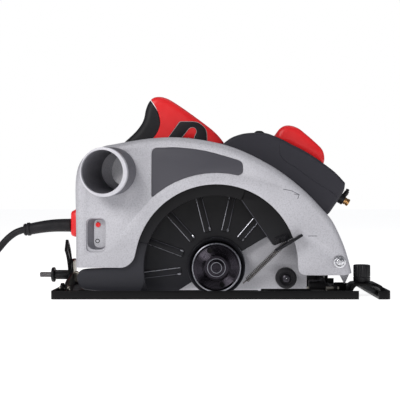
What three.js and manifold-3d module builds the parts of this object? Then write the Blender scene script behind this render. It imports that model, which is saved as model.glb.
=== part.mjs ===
// A hand-held circular saw for 190 mm blades, standing on its sole at full depth, with no blade fitted.
// Millimetres. Origin at the centre of the sole, +X in the cutting direction, +Y towards the motor, +Z up.
import * as THREE from 'three';
import { mergeVertices } from 'three/addons/utils/BufferGeometryUtils.js';
import Module from 'manifold-3d';

const wasm = await Module();
wasm.setup();

// ---------------------------------------------------------------- driving dimensions
const GAP = 0.3; // running or seating gap between neighbouring pieces
const BASE = { x: 153.5, y: 70, plate: 2.5, lip: 7.6, lipThick: 2.5, corner: 4.5 };
const SLOT = { x0: -138, x1: 98, y0: -56.5, y1: -5 };
const SIGHT = { x0: 124.6, x1: 142.6, y1: 58 }; // sight notch at the near edge, and the fence's way behind it
const BRIDGE = { top: 12.6, thick: 2.2, y0: -50, y1: -20 };
const FENCE_KNOB = { x: 132, y: -40, r: 8, z0: 11.9, z1: 29.4 };

const SPINDLE = { x: -4, z: 27 };
const DEPTH_PIVOT = { x: 109, z: 33 };
const BEVEL = { y: -48, z: 8 }; // bevel axis, along X
const QUADRANT_R = 175; // radius of the depth quadrant's slot about the depth pivot

const NEAR_WALL = { y0: -56, y1: -53 };
const BACK_WALL = { y0: -20, y1: -17 };
const CAST = 3; // wall of the castings
const WINDOW = { x: -4, z: 29, r: 75.2 };

const GUARD = { y0: -51, y1: -25, rOut: 98.6, rIn: 96.4, flangeIn: 66.8, lead: 212.5, trail: 30.5, wall: 2 };
const HUB = { boss: 17, bore: 17.5, collar: 26.2 };

const TEETH = { gear: 36, pinion: 9 }; // module 1
const MOTOR_ANGLE = 62; // direction from the spindle to the armature, degrees above +X
const CENTRE_DISTANCE = (TEETH.gear + TEETH.pinion) / 2;
const rad = THREE.MathUtils.degToRad;
const MOTOR = {
  x: SPINDLE.x + CENTRE_DISTANCE * Math.cos(rad(MOTOR_ANGLE)),
  z: SPINDLE.z + CENTRE_DISTANCE * Math.sin(rad(MOTOR_ANGLE)),
  r: 43,
  wall: 3,
  y0: 12.6,
  y1: 126,
};
const NOSE = { y0: -16.7, y1: 60 };
const HANDLE = { y0: 22, y1: 58, split: 40 };
const LOCK_Y = 2; // the spindle lock button's axis, along X
const CORD_Y = 35;
const CORD_R = 3.5;
const COIL = { x: -318, y: 38, rIn: 27, rOut: 50, height: 21.6 };

// ---------------------------------------------------------------- from three.js geometry to solids
function solidOf(geometry) {
  geometry.deleteAttribute('normal');
  geometry.deleteAttribute('uv');
  const merged = mergeVertices(geometry, 1e-4);
  const corners = merged.index.array;
  const kept = [];
  for (let i = 0; i < corners.length; i += 3) {
    const [a, b, c] = [corners[i], corners[i + 1], corners[i + 2]];
    if (a !== b && b !== c && c !== a) kept.push(a, b, c);
  }
  const make = (triangles) => new wasm.Manifold(new wasm.Mesh({
    numProp: 3,
    vertProperties: new Float32Array(merged.attributes.position.array),
    triVerts: new Uint32Array(triangles),
  }));
  const solid = make(kept);
  if (solid.volume() > 0) return solid;
  for (let i = 0; i < kept.length; i += 3) [kept[i + 1], kept[i + 2]] = [kept[i + 2], kept[i + 1]];
  return make(kept);
}

const join = (...solids) => solids.reduce((whole, next) => whole.add(next));
const cut = (solid, ...tools) => tools.reduce((whole, tool) => whole.subtract(tool), solid);

// Shape coordinates are (X, Z) and the slab reaches from y0 to y1.
function slabY(shape, y0, y1, curveSegments = 3) {
  const body = new THREE.ExtrudeGeometry(shape, { depth: y1 - y0, bevelEnabled: false, curveSegments });
  body.rotateX(Math.PI / 2);
  body.translate(0, y1, 0);
  return solidOf(body);
}

// Shape coordinates are (Y, Z) and the slab reaches from x0 to x1.
function slabX(shape, x0, x1, curveSegments = 3) {
  const body = new THREE.ExtrudeGeometry(shape, { depth: x1 - x0, bevelEnabled: false, curveSegments });
  const axes = new THREE.Matrix4().makeBasis(
    new THREE.Vector3(0, 1, 0), new THREE.Vector3(0, 0, 1), new THREE.Vector3(1, 0, 0));
  body.applyMatrix4(axes);
  body.translate(x0, 0, 0);
  return solidOf(body);
}

// Shape coordinates are (X, Y) and the slab reaches from z0 to z1.
function slabZ(shape, z0, z1, curveSegments = 3) {
  const body = new THREE.ExtrudeGeometry(shape, { depth: z1 - z0, bevelEnabled: false, curveSegments });
  body.translate(0, 0, z0);
  return solidOf(body);
}

function block(x0, x1, y0, y1, z0, z1) {
  const body = new THREE.BoxGeometry(x1 - x0, y1 - y0, z1 - z0);
  body.translate((x0 + x1) / 2, (y0 + y1) / 2, (z0 + z1) / 2);
  return solidOf(body);
}

// A round bar between two points, r1 at the first end and r2 at the second.
function bar(from, to, r1, r2 = r1, sides = 24) {
  const [a, b] = [new THREE.Vector3(...from), new THREE.Vector3(...to)];
  const along = b.clone().sub(a);
  const body = new THREE.CylinderGeometry(r2, r1, along.length(), sides);
  body.applyQuaternion(new THREE.Quaternion().setFromUnitVectors(
    new THREE.Vector3(0, 1, 0), along.clone().normalize()));
  body.translate(...a.add(b).multiplyScalar(0.5).toArray());
  return solidOf(body);
}

const rodX = (y, z, r, x0, x1, sides = 24) => bar([x0, y, z], [x1, y, z], r, r, sides);
const rodY = (x, z, r, y0, y1, sides = 24) => bar([x, y0, z], [x, y1, z], r, r, sides);
const rodZ = (x, y, r, z0, z1, sides = 24) => bar([x, y, z0], [x, y, z1], r, r, sides);
const ringY = (x, z, rOut, rIn, y0, y1, sides = 32) =>
  cut(rodY(x, z, rOut, y0, y1, sides), rodY(x, z, rIn, y0 - 1, y1 + 1, sides));

// A turned piece on the Y axis from its closed half profile of [radius, y] points.
function turned(profile, sides = 32) {
  const points = profile.map(([r, y]) => new THREE.Vector2(r, y));
  if (profile[0][0] > 0) points.push(points[0].clone());
  return solidOf(new THREE.LatheGeometry(points, sides));
}

// A closed outline of [x, y, cornerRadius] points.
function outline(points) {
  const shape = new THREE.Shape();
  const count = points.length;
  points.forEach(([x, y, r = 0], i) => {
    const here = new THREE.Vector2(x, y);
    const before = new THREE.Vector2(...points[(i + count - 1) % count]);
    const after = new THREE.Vector2(...points[(i + 1) % count]);
    const toBefore = before.clone().sub(here);
    const toAfter = after.clone().sub(here);
    const reach = Math.min(r, toBefore.length() * 0.49, toAfter.length() * 0.49);
    const start = here.clone().addScaledVector(toBefore.normalize(), reach);
    const end = here.clone().addScaledVector(toAfter.normalize(), reach);
    if (i === 0) shape.moveTo(start.x, start.y);
    else shape.lineTo(start.x, start.y);
    if (reach > 0) shape.quadraticCurveTo(x, y, end.x, end.y);
  });
  shape.closePath();
  return shape;
}

const rectangle = (x0, x1, y0, y1, r = 0) => outline([[x0, y0, r], [x1, y0, r], [x1, y1, r], [x0, y1, r]]);

function disc(x, y, r) {
  const shape = new THREE.Shape();
  shape.absarc(x, y, r, 0, 2 * Math.PI, false);
  return shape;
}

// A curved slot or band of a ring: centre, inner and outer radius, first and last angle in degrees.
function band(x, y, rIn, rOut, from, to) {
  const shape = new THREE.Shape();
  shape.absarc(x, y, rOut, rad(from), rad(to), false);
  shape.absarc(x, y, rIn, rad(to), rad(from), true);
  shape.closePath();
  return shape;
}

const polar = (centre, r, degrees) => [
  centre[0] + r * Math.cos(rad(degrees)), centre[1] + r * Math.sin(rad(degrees))];

// A row of points moved sideways, to their left, by a distance.
function offsetLine(points, distance) {
  return points.map((point, i) => {
    const before = points[Math.max(i - 1, 0)];
    const after = points[Math.min(i + 1, points.length - 1)];
    const along = new THREE.Vector2(after[0] - before[0], after[1] - before[1]).normalize();
    return [point[0] - along.y * distance, point[1] + along.x * distance];
  });
}

function smooth(points, count) {
  const curve = new THREE.SplineCurve(points.map(([x, y]) => new THREE.Vector2(x, y)));
  return curve.getPoints(count).map((p) => [p.x, p.y]);
}

// ---------------------------------------------------------------- materials
const paint = (color, roughness, metalness) => new THREE.MeshStandardMaterial({ color, roughness, metalness });
const castAluminium = paint(0xc6c5cb, 0.55, 0.35);
const blackPaint = paint(0x16151a, 0.45, 0.1);
const zinc = paint(0xb4b2ac, 0.35, 0.8);
const darkSteel = paint(0x4a484c, 0.35, 0.8);
const brightSteel = paint(0xc9cacc, 0.25, 0.9);
const guardBlack = paint(0x232226, 0.5, 0.1);
const darkPlastic = paint(0x2e2e32, 0.6, 0.0);
const blackPlastic = paint(0x1b1b1e, 0.55, 0.0);
const redPlastic = paint(0xe62c30, 0.4, 0.0);
const rubber = paint(0x1a1a1c, 0.8, 0.0);
const badgeGrey = paint(0x4d4c52, 0.5, 0.1);
const brass = paint(0xb8915a, 0.35, 0.8);
const copper = paint(0x9a5a35, 0.4, 0.7);
const laminated = paint(0x6f6e70, 0.5, 0.6);

// ---------------------------------------------------------------- the assembly
const saw = new THREE.Group();
const tilting = new THREE.Group(); // what leans with the bevel
const body = new THREE.Group(); // what also swings about the depth pivot
const spindleGroup = new THREE.Group();
const armatureGroup = new THREE.Group();
const guardGroup = new THREE.Group();
saw.add(tilting);
tilting.add(body);
body.add(spindleGroup, armatureGroup, guardGroup);
spindleGroup.position.set(SPINDLE.x, 0, SPINDLE.z);
guardGroup.position.set(SPINDLE.x, 0, SPINDLE.z);
armatureGroup.position.set(MOTOR.x, 0, MOTOR.z);

function addPart(name, solid, material, group) {
  const { vertProperties, triVerts } = solid.getMesh();
  const geometry = new THREE.BufferGeometry();
  geometry.setAttribute('position', new THREE.BufferAttribute(new Float32Array(vertProperties), 3));
  geometry.setIndex(new THREE.BufferAttribute(new Uint32Array(triVerts), 1));
  const flat = geometry.toNonIndexed();
  flat.computeVertexNormals();
  const mesh = new THREE.Mesh(flat, material);
  mesh.name = name;
  group.add(mesh);
}

// ---------------------------------------------------------------- base
// Pressed steel plate with turned-up edges, a slot for the blade and guard, and a sight notch in front.
function basePlate() {
  const edge = (inset, z0, z1) => slabZ(
    rectangle(-BASE.x + inset, BASE.x - inset, -BASE.y + inset, BASE.y - inset, BASE.corner), z0, z1);
  const tray = cut(edge(0, 0, BASE.lip), edge(BASE.lipThick, BASE.plate, BASE.lip + 1));
  const slot = slabZ(rectangle(SLOT.x0, SLOT.x1, SLOT.y0, SLOT.y1, 6), -1, 9);
  const notch = block(SIGHT.x0, SIGHT.x1, -BASE.y - 1, SIGHT.y1, -1, 9);
  const fenceWay = block(120, 146, BASE.y - 5, BASE.y + 1, BASE.plate, 9);
  const motorRelief = block(-30, 44, BASE.y - 5, BASE.y + 1, BASE.plate, 9);
  return cut(tray, slot, notch, fenceWay, motorRelief);
}

// Hat-section bridge at the near edge, under which a rip fence slides along Y.
function fenceBridge() {
  const low = BASE.plate + GAP;
  const hat = outline([
    [119, low], [121, low], [124.6, BRIDGE.top - BRIDGE.thick], [143, BRIDGE.top - BRIDGE.thick],
    [147.6, low], [150.4, low], [150.4, 6], [146.4, BRIDGE.top, 3], [123, BRIDGE.top, 3], [119, low + 2.2]]);
  const hole = rodZ(FENCE_KNOB.x, FENCE_KNOB.y, 3.4, 5, 20, 20);
  const nearEnd = slabZ(outline([[108, -80], [155, -80], [155, -60], [143.2, -60], [140, BRIDGE.y0],
    [108, BRIDGE.y0]]), 0, 20);
  return cut(slabY(hat, -62, BRIDGE.y1), hole, nearEnd);
}

function fenceKnob() {
  const head = turned([[0, FENCE_KNOB.z0 + 1.2], [FENCE_KNOB.r - 1.4, FENCE_KNOB.z0 + 1.2],
    [FENCE_KNOB.r, FENCE_KNOB.z0 + 2.6], [FENCE_KNOB.r, FENCE_KNOB.z0 + 6.2],
    [FENCE_KNOB.r - 0.3, FENCE_KNOB.z0 + 6.6], [FENCE_KNOB.r - 0.3, FENCE_KNOB.z1 - 0.6],
    [FENCE_KNOB.r - 0.9, FENCE_KNOB.z1], [0, FENCE_KNOB.z1]], 28)
    .rotate([90, 0, 0])
    .translate([FENCE_KNOB.x, FENCE_KNOB.y, 0]);
  const screw = rodZ(FENCE_KNOB.x, FENCE_KNOB.y, 2.9, 9.3, FENCE_KNOB.z0 + 3, 12);
  return join(head, screw);
}

const BEVEL_CENTRE = [BEVEL.y, BEVEL.z];
const FRONT_BOLT = { r: 69, angle: 11, half: 3.4, past: 4.2 };
const REAR_BOLT = { r: 44, angle: 12.2, half: 2.9, past: 6.4 };
const FRONT_BOLT_AT = polar(BEVEL_CENTRE, FRONT_BOLT.r, FRONT_BOLT.angle);
const REAR_BOLT_AT = polar(BEVEL_CENTRE, REAR_BOLT.r, REAR_BOLT.angle);
const DEPTH_BOLT_AT = [
  DEPTH_PIVOT.x - QUADRANT_R * Math.cos(rad(3)), DEPTH_PIVOT.z + QUADRANT_R * Math.sin(rad(3))];
const TILT_RANGE = 45;
const DEPTH_RANGE = 35;

// A quarter-circle plate square to X, with a slot about the bevel axis for the lock bolt.
function bevelQuadrant(bolt, width, foot, x0, x1) {
  const first = bolt.angle - 8;
  const last = bolt.angle + TILT_RANGE + bolt.past; // beyond the slot, which stays closed
  const plate = slabX(band(...BEVEL_CENTRE, bolt.r - width, bolt.r + width, first, last), x0, x1, 8);
  const slot = join(
    slabX(band(...BEVEL_CENTRE, bolt.r - bolt.half, bolt.r + bolt.half, bolt.angle, bolt.angle + TILT_RANGE),
      x0 - 1, x1 + 1, 8),
    ...[0, TILT_RANGE].map((turn) =>
      rodX(...polar(BEVEL_CENTRE, bolt.r, bolt.angle + turn), bolt.half, x0 - 1, x1 + 1, 16)));
  const low = BASE.plate + GAP;
  const strip = slabX(rectangle(BEVEL.y - 5.2, foot[1], low, 7.6), x0, x1);
  const riser = slabX(outline([[foot[0], low], [foot[1], low], [foot[1], 12], [foot[1] - 2, 16],
    [foot[0], 16]]), x0, x1);
  const boss = rodX(...BEVEL_CENTRE, 5, x0, x1, 20);
  return cut(join(plate, strip, riser, boss), slot, rodX(...BEVEL_CENTRE, 2.3, x0 - 1, x1 + 1, 16));
}

function frontQuadrant() {
  const flange = block(107, 118.4, -33, 27, BASE.plate + GAP, 4.9);
  const rib = block(107, 118.4, -33, -29, BASE.plate + GAP, 12);
  return join(bevelQuadrant(FRONT_BOLT, 5.5, [15, 28.5], 104.3, 107.3), flange, rib);
}

const rearQuadrant = () => bevelQuadrant(REAR_BOLT, 6, [-8, 3], -148, -145.2);

addPart('base_plate', basePlate(), blackPaint, saw);
addPart('fence_bridge', fenceBridge(), blackPaint, saw);
addPart('fence_clamp_knob', fenceKnob(), blackPlastic, saw);
addPart('front_bevel_quadrant', frontQuadrant(), blackPaint, saw);
addPart('rear_bevel_quadrant', rearQuadrant(), blackPaint, saw);
addPart('front_bevel_pin', rodX(...BEVEL_CENTRE, 2, 79.5, 109.5, 16), zinc, saw);
addPart('rear_bevel_pin', rodX(...BEVEL_CENTRE, 2, -149.6, -139.8, 16), zinc, saw);

// ---------------------------------------------------------------- tilting frame
function frontTiltBracket() {
  const crossbar = slabX(outline([[BEVEL.y, 2.8], [-44, 5.6], [-15, 5.6], [-15, 18.4], [BEVEL.y - 3, 14, 3],
    [BEVEL.y - 5, 8, 3]]), 92.8, 97.5); // passes in front of the blade
  const knuckle = slabX(outline([[BEVEL.y, 2.8], [-44, 5.6], [-43, 5.6], [-43, 15.6], [BEVEL.y - 3, 14, 3],
    [BEVEL.y - 5, 8, 3]]), 81.5, 97);
  const web = slabY(outline([[81.5, 5.6], [96, 5.6], [99, 20], [112, 22, 5], [115.5, 33, 5], [110, 42, 5],
    [92, 40, 4], [81.5, 20]]), -15.8, -13.2);
  const face = slabX(rectangle(-15.8, 27, 13, 30, 2), 100.5, 103);
  const holes = [
    rodX(...BEVEL_CENTRE, 2.3, 80, 99, 16),
    rodX(...FRONT_BOLT_AT, 3.3, 99, 104, 16),
    rodY(DEPTH_PIVOT.x, DEPTH_PIVOT.z, 4.3, -17, -12, 20)];
  return cut(join(knuckle, crossbar, web, face), ...holes);
}

function rearTiltBracket() {
  const plate = slabX(outline([[-53, 8, 4], [-50, 3.2, 2], [-20, 3.2, 2], [2, 14, 3], [2, 33, 3], [-14, 33, 3],
    [-18, 20, 6], [-45, 14, 5]]), -144.7, -142.2);
  return cut(plate, rodX(...BEVEL_CENTRE, 2.3, -146, -141, 16), rodX(...REAR_BOLT_AT, 2.9, -146, -141, 16));
}

function depthQuadrant() {
  const centre = [DEPTH_PIVOT.x, DEPTH_PIVOT.z];
  const [first, last] = [180 - 3 - DEPTH_RANGE, 180 - 3];
  const arc = slabY(band(...centre, QUADRANT_R - 8, QUADRANT_R + 8, first, last + 8), -14, -11.5, 9);
  const tip = rodY(...polar(centre, QUADRANT_R, first), 7.6, -14, -11.5, 20);
  const arm = slabY(outline([[-141.9, 11], [-70, 12], [-58, 20], [-58, 34], [-108, 33], [-119, 20.5],
    [-141.9, 20.5]]), -14, -11.5);
  const slot = join(
    slabY(band(...centre, QUADRANT_R - 3.3, QUADRANT_R + 3.3, first, last), -16, -9, 8),
    ...[first, last].map((angle) => rodY(...polar(centre, QUADRANT_R, angle), 3.3, -16, -9, 16)));
  return cut(join(arc, tip, arm), slot);
}

function rearLockBolt() {
  return join(rodX(...REAR_BOLT_AT, 3.8, -141.9, -139.5, 6), rodX(...REAR_BOLT_AT, 2.5, -176.5, -141, 16));
}

function rearLockNut() {
  const sleeve = rodX(...REAR_BOLT_AT, 4, -162.4, -148.4, 24);
  const flange = rodX(...REAR_BOLT_AT, 7.3, -164.8, -161.8, 24);
  return cut(join(sleeve, flange), rodX(...REAR_BOLT_AT, 2.8, -170, -140, 16));
}

function frontLockLever() {
  const [y, z] = FRONT_BOLT_AT;
  const hub = rodX(y, z, 6, 107.6, 115.5, 20);
  const arm = slabX(outline([[y - 4, z], [y + 4, z], [y + 3.2, z + 33, 3], [y - 3.2, z + 33, 3]]), 110, 115);
  return join(hub, arm, rodX(y, z, 2.9, 98, 108, 16));
}

addPart('front_tilt_bracket', frontTiltBracket(), blackPaint, tilting);
addPart('rear_tilt_bracket', rearTiltBracket(), zinc, tilting);
addPart('depth_quadrant', depthQuadrant(), zinc, tilting);
addPart('rear_lock_bolt', rearLockBolt(), zinc, tilting);
addPart('rear_lock_nut', rearLockNut(), blackPlastic, tilting);
addPart('front_lock_lever', frontLockLever(), blackPlastic, tilting);

// ---------------------------------------------------------------- upper guard
// The crown runs from the rear leg over the top to the front leg.
const CROWN = [
  [-133.6, 27.6], [-133.6, 59], [-134.2, 101], [-133, 115], [-129.5, 125], [-122, 133], [-108, 139.4],
  ...smooth([[-99, 141.2], [-71, 146], [-45, 147.8], [-19, 145.6], [4, 140.8], [27.5, 131.7], [50.7, 119],
    [74, 101.4], [90.5, 85], [100.5, 74], [109, 59], [115.5, 43], [121, 22.5]], 22)];

const PORT = { base: [-99.7, -55, 116], rim: [-104.4, -80, 114.3], rOut: 22, rIn: 19.6 };

function windowEdge() {
  const arc = [];
  for (let angle = 6; angle <= 168; angle += 9) arc.push(polar([WINDOW.x, WINDOW.z], WINDOW.r, angle));
  return arc;
}

function upperGuard() {
  const near = outline([...CROWN, [121, 20.6, 2], [71.4, 20.6, 10], ...windowEdge(),
    [-80, 34, 5], [-87.5, 27.6, 6]]);
  const inside = offsetLine(CROWN, -CAST);
  const shell = cut(
    slabY(outline([...CROWN, [121, 20.6], [88, 20.6], [88, 3], [-100, 3], [-133.6, 27.5]]),
      NEAR_WALL.y1 - 0.5, BACK_WALL.y0 - GAP),
    slabY(outline([...inside, [118, -5], [-130.6, -5]]), NEAR_WALL.y1 - 1, BACK_WALL.y0 + 5));
  const pocketWall = slabY(rectangle(-126, -102.4, 37.5, 76, 6), NEAR_WALL.y0, -16.2);
  const pocket = slabY(rectangle(-123.7, -104.4, 40, 73.6, 4), NEAR_WALL.y0 - 1, -18.2);
  const bore = new THREE.Vector3(...PORT.rim).sub(new THREE.Vector3(...PORT.base)).normalize();
  const beyond = (point, distance) => new THREE.Vector3(...point).addScaledVector(bore, distance).toArray();
  const port = bar(PORT.base, PORT.rim, PORT.rOut, PORT.rOut, 40);
  const portHole = bar(beyond(PORT.base, -12), beyond(PORT.rim, 3), PORT.rIn, PORT.rIn, 40);
  const pointer = slabY(outline([[110.7, 21], [121, 21], [116.3, 10.8]]), -38, -35.5);
  const pointerArm = block(112.5, 120.4, -38, -20 - GAP, 20.6, 23.4);
  const pivotHole = rodY(DEPTH_PIVOT.x, DEPTH_PIVOT.z, 4.3, NEAR_WALL.y0 - 1, NEAR_WALL.y1 + 1, 20);
  const whole = join(slabY(near, ...Object.values(NEAR_WALL)), shell, pocketWall, port, pointer, pointerArm);
  return cut(whole, pocket, portHole, pivotHole, slabY(badgeOutline(0.35), NEAR_WALL.y0 - 1, -55.1));
}

// The badge lies in a shallow recess between the window and the crown; grow widens it all round.
function badgeOutline(grow = 0) {
  const bottom = [];
  for (let angle = 76.5; angle <= 127; angle += 7) {
    bottom.push(polar([SPINDLE.x, SPINDLE.z], 87.8 - grow, angle));
  }
  return outline([[-63 - grow, 92.5 - grow, 4], [-63 - grow, 137.4 + grow, 6], ...smooth(
    [[-52, 137.6 + grow], [-38.7, 137.8 + grow], [-13.9, 134.6 + grow], [13, 127.2 + grow]], 6),
  [20.8 + grow, 124 + grow, 4], [21 + grow, 114 - grow, 4], ...bottom.slice(0, -1), [-57, 94 - grow, 2]]);
}

addPart('upper_guard', upperGuard(), castAluminium, body);
addPart('guard_badge', slabY(badgeOutline(0), -56, -55.4), badgeGrey, body);

// ---------------------------------------------------------------- gear case with the guard's back wall
function gearCase() {
  const wall = slabY(outline([...CROWN, [121, 20.6, 2], [82.6, 21.4, 2], [82.6, 3.6, 2], [-72, 3.6, 4],
    [-92, 27.6, 8]]), ...Object.values(BACK_WALL));
  const pocketGap = slabY(rectangle(-126.4, -102, 37.1, 76.4, 6), -22, -14);
  const boss = rodY(SPINDLE.x, SPINDLE.z, HUB.boss, -30, BACK_WALL.y1, 32);
  const chamber = (grow, y0, y1) => join(
    rodY(SPINDLE.x, SPINDLE.z, 20.4 + grow, y0, y1, 40), rodY(MOTOR.x, MOTOR.z, 8 + grow, y0, y1, 24));
  const lockBoss = rodX(LOCK_Y, SPINDLE.z, 6.5, 12, 34, 20);
  const hollows = [
    chamber(0, -13.5, 10),
    rodY(SPINDLE.x, SPINDLE.z, 6.4, -31, -12, 24),
    rodY(SPINDLE.x, SPINDLE.z, 11.3, -31, -23.4, 28),
    rodX(LOCK_Y, SPINDLE.z, 3.6, 25, 35, 16),
    rodY(...DEPTH_BOLT_AT, 3.3, -21, -16, 16),
    rodY(DEPTH_PIVOT.x, DEPTH_PIVOT.z, 4.3, -21, -16, 20)];
  return cut(join(wall, boss, chamber(2.9, BACK_WALL.y1 - 0.5, 9), lockBoss),
    pocketGap, ...hollows);
}

function gearCover() {
  const plate = join(rodY(SPINDLE.x, SPINDLE.z, 23.3, 9.4, 12.2, 36), rodY(MOTOR.x, MOTOR.z, 40, 9.4, 12.2, 40));
  const pads = rodY(SPINDLE.x, SPINDLE.z, 9, 7, 10, 24);
  return cut(join(plate, pads), rodY(SPINDLE.x, SPINDLE.z, 5.4, 6, 14, 20), rodY(MOTOR.x, MOTOR.z, 6.2, 8, 14, 20));
}

function pivotBolt() {
  const { x, z } = DEPTH_PIVOT;
  const washer = rodY(x, z, 5.8, -57.2, -56.3, 24);
  const head = bar([x, -60, z], [x, -57, z], 3.2, 4.4, 20);
  const recess = join(block(x - 2.2, x + 2.2, -61, -58.4, z - 0.5, z + 0.5),
    block(x - 0.5, x + 0.5, -61, -58.4, z - 2.2, z + 2.2));
  const nut = rodY(x, z, 6, -12.9, -8.5, 6);
  return cut(join(washer, head, rodY(x, z, 4, -57, -10, 20), nut), recess);
}

function depthLockBolt() {
  return join(rodY(...DEPTH_BOLT_AT, 5.5, -22.4, -20.3, 16), rodY(...DEPTH_BOLT_AT, 2.9, -21, 0.5, 16));
}

function depthLockLever() {
  const [x, z] = DEPTH_BOLT_AT;
  const hub = rodY(x, z, 8, -11.2, -1, 24);
  const arm = slabY(outline([[x, z - 5], [x, z + 5], [x - 40, z + 12, 3], [x - 41, z + 4, 3]]), -6, -1);
  return cut(join(hub, arm), rodY(x, z, 3.2, -12, 1, 16));
}

function bumper() {
  const [x, z] = [62.2, 15.6];
  const cushion = bar([x, -20.3, z], [x, -33, z], 10, 9.4, 24);
  return cut(cushion, rodY(x, z, 5.6, -34, -31, 20), rodY(x, z, 2.4, -35, -19, 16));
}

addPart('gear_case', gearCase(), castAluminium, body);
addPart('gear_cover', gearCover(), castAluminium, body);
addPart('depth_pivot_bolt', pivotBolt(), brightSteel, body);
addPart('depth_lock_bolt', depthLockBolt(), zinc, body);
addPart('depth_lock_lever', depthLockLever(), blackPlastic, body);
addPart('guard_bumper', bumper(), rubber, body);
addPart('return_spring', bar([63, -31, 51.2], [21.2, -31, 10.8], 1.9, 1.9, 10), darkSteel, body);

// ---------------------------------------------------------------- spindle and gear train, on the Y axis
// Straight-sided teeth with rounded-off thickness, thin enough to run without touching.
function toothedWheel(teeth, phase) {
  const pitch = teeth / 2;
  const shape = new THREE.Shape();
  const half = 360 / teeth / 4; // half a tooth at the pitch circle, in degrees
  for (let i = 0; i < teeth; i += 1) {
    const middle = phase + (i * 360) / teeth;
    const corners = [
      [pitch - 1.3, middle - half * 1.35], [pitch, middle - half * 0.78], [pitch + 0.8, middle - half * 0.34],
      [pitch + 0.8, middle + half * 0.34], [pitch, middle + half * 0.78], [pitch - 1.3, middle + half * 1.35]];
    corners.forEach(([r, angle], k) => {
      const [x, y] = polar([0, 0], r, angle);
      if (i + k === 0) shape.moveTo(x, y);
      else shape.lineTo(x, y);
    });
  }
  shape.closePath();
  return shape;
}

const gearPhase = MOTOR_ANGLE; // one gear tooth points at the pinion
const pinionPhase = MOTOR_ANGLE + 180 + 180 / TEETH.pinion; // and one pinion gap faces it

function spindleShaft() {
  const shaft = turned([[0, -40], [6, -40], [6, -10], [6, 1], [5, 1], [5, 10.8], [0, 10.8]], 24);
  return cut(shaft, rodY(0, 0, 4.3, -41, -28, 16));
}

function outerFlange() {
  const plate = turned([[4.4, -40.4], [23, -40.4], [23.2, -41], [23, -45], [21.8, -45.6], [20.6, -45.2],
    [11.4, -44.6], [10.6, -46], [7, -46], [4.4, -46]], 40);
  const pins = [117, 290].map((angle) => rodY(...polar([0, 0], 15.3, angle), 2, -47, -42, 12));
  return cut(plate, ...pins);
}

const innerFlange = () => turned([[6.3, -40.1], [22, -40.1], [22, -36], [13, -32], [6.3, -32]], 36);

function bladeBolt() {
  const head = turned([[0, -49], [4.6, -49], [5.4, -48], [5.4, -47.4], [8.6, -47.2], [8.6, -46.3], [0, -46.3]], 24);
  return cut(join(head, rodY(0, 0, 4, -47, -30, 16)), rodY(0, 0, 2.6, -50, -47.6, 6));
}

function bearing(rOut, rIn, y0, y1) {
  return turned([[rIn, y0], [rOut, y0], [rOut, y1], [rIn, y1]], 28);
}

addPart('spindle', spindleShaft(), darkSteel, spindleGroup);
addPart('drive_gear', cut(slabY(toothedWheel(TEETH.gear, gearPhase), -8, 0), rodY(0, 0, 6.3, -9, 1, 24)),
  darkSteel, spindleGroup);
addPart('inner_flange', innerFlange(), darkSteel, spindleGroup);
addPart('outer_flange', outerFlange(), darkSteel, spindleGroup);
addPart('blade_bolt', bladeBolt(), darkSteel, spindleGroup);
const spindleBearing = bearing(11, 6.3, -31, -23.7).translate([SPINDLE.x, 0, SPINDLE.z]);
addPart('spindle_bearing', spindleBearing, brightSteel, body);

function armatureShaft() {
  const shaft = turned([[0, -1], [3.6, -1], [3.6, 13], [4, 13], [4, 121], [0, 121]], 20);
  return join(shaft, slabY(toothedWheel(TEETH.pinion, pinionPhase), -8.4, 0.4));
}

function coolingFan() {
  const plate = ringY(0, 0, 36, 4.3, 30, 32, 36);
  const blades = [];
  for (let i = 0; i < 12; i += 1) {
    blades.push(block(14, 35, -1, 1, 0, 9).rotate([-90, 0, 0]).translate([0, 22, 0])
      .rotate([0, i * 30, 0]));
  }
  return join(plate, ringY(0, 0, 8, 4.3, 24, 31, 24), ...blades.map((blade) => blade.translate([0, 0.5, 0])));
}

function rotorCore() {
  const slots = [];
  for (let i = 0; i < 12; i += 1) slots.push(block(21, 27, 43, 87, -1.2, 1.2).rotate([0, i * 30, 0]));
  return cut(ringY(0, 0, 25.5, 4.3, 44, 86, 36), ...slots);
}

addPart('armature_shaft', armatureShaft(), brightSteel, armatureGroup);
addPart('cooling_fan', coolingFan(), blackPlastic, armatureGroup);
addPart('rotor_core', rotorCore(), laminated, armatureGroup);
addPart('commutator', bearing(13, 4.3, 92, 107), copper, armatureGroup);

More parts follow.
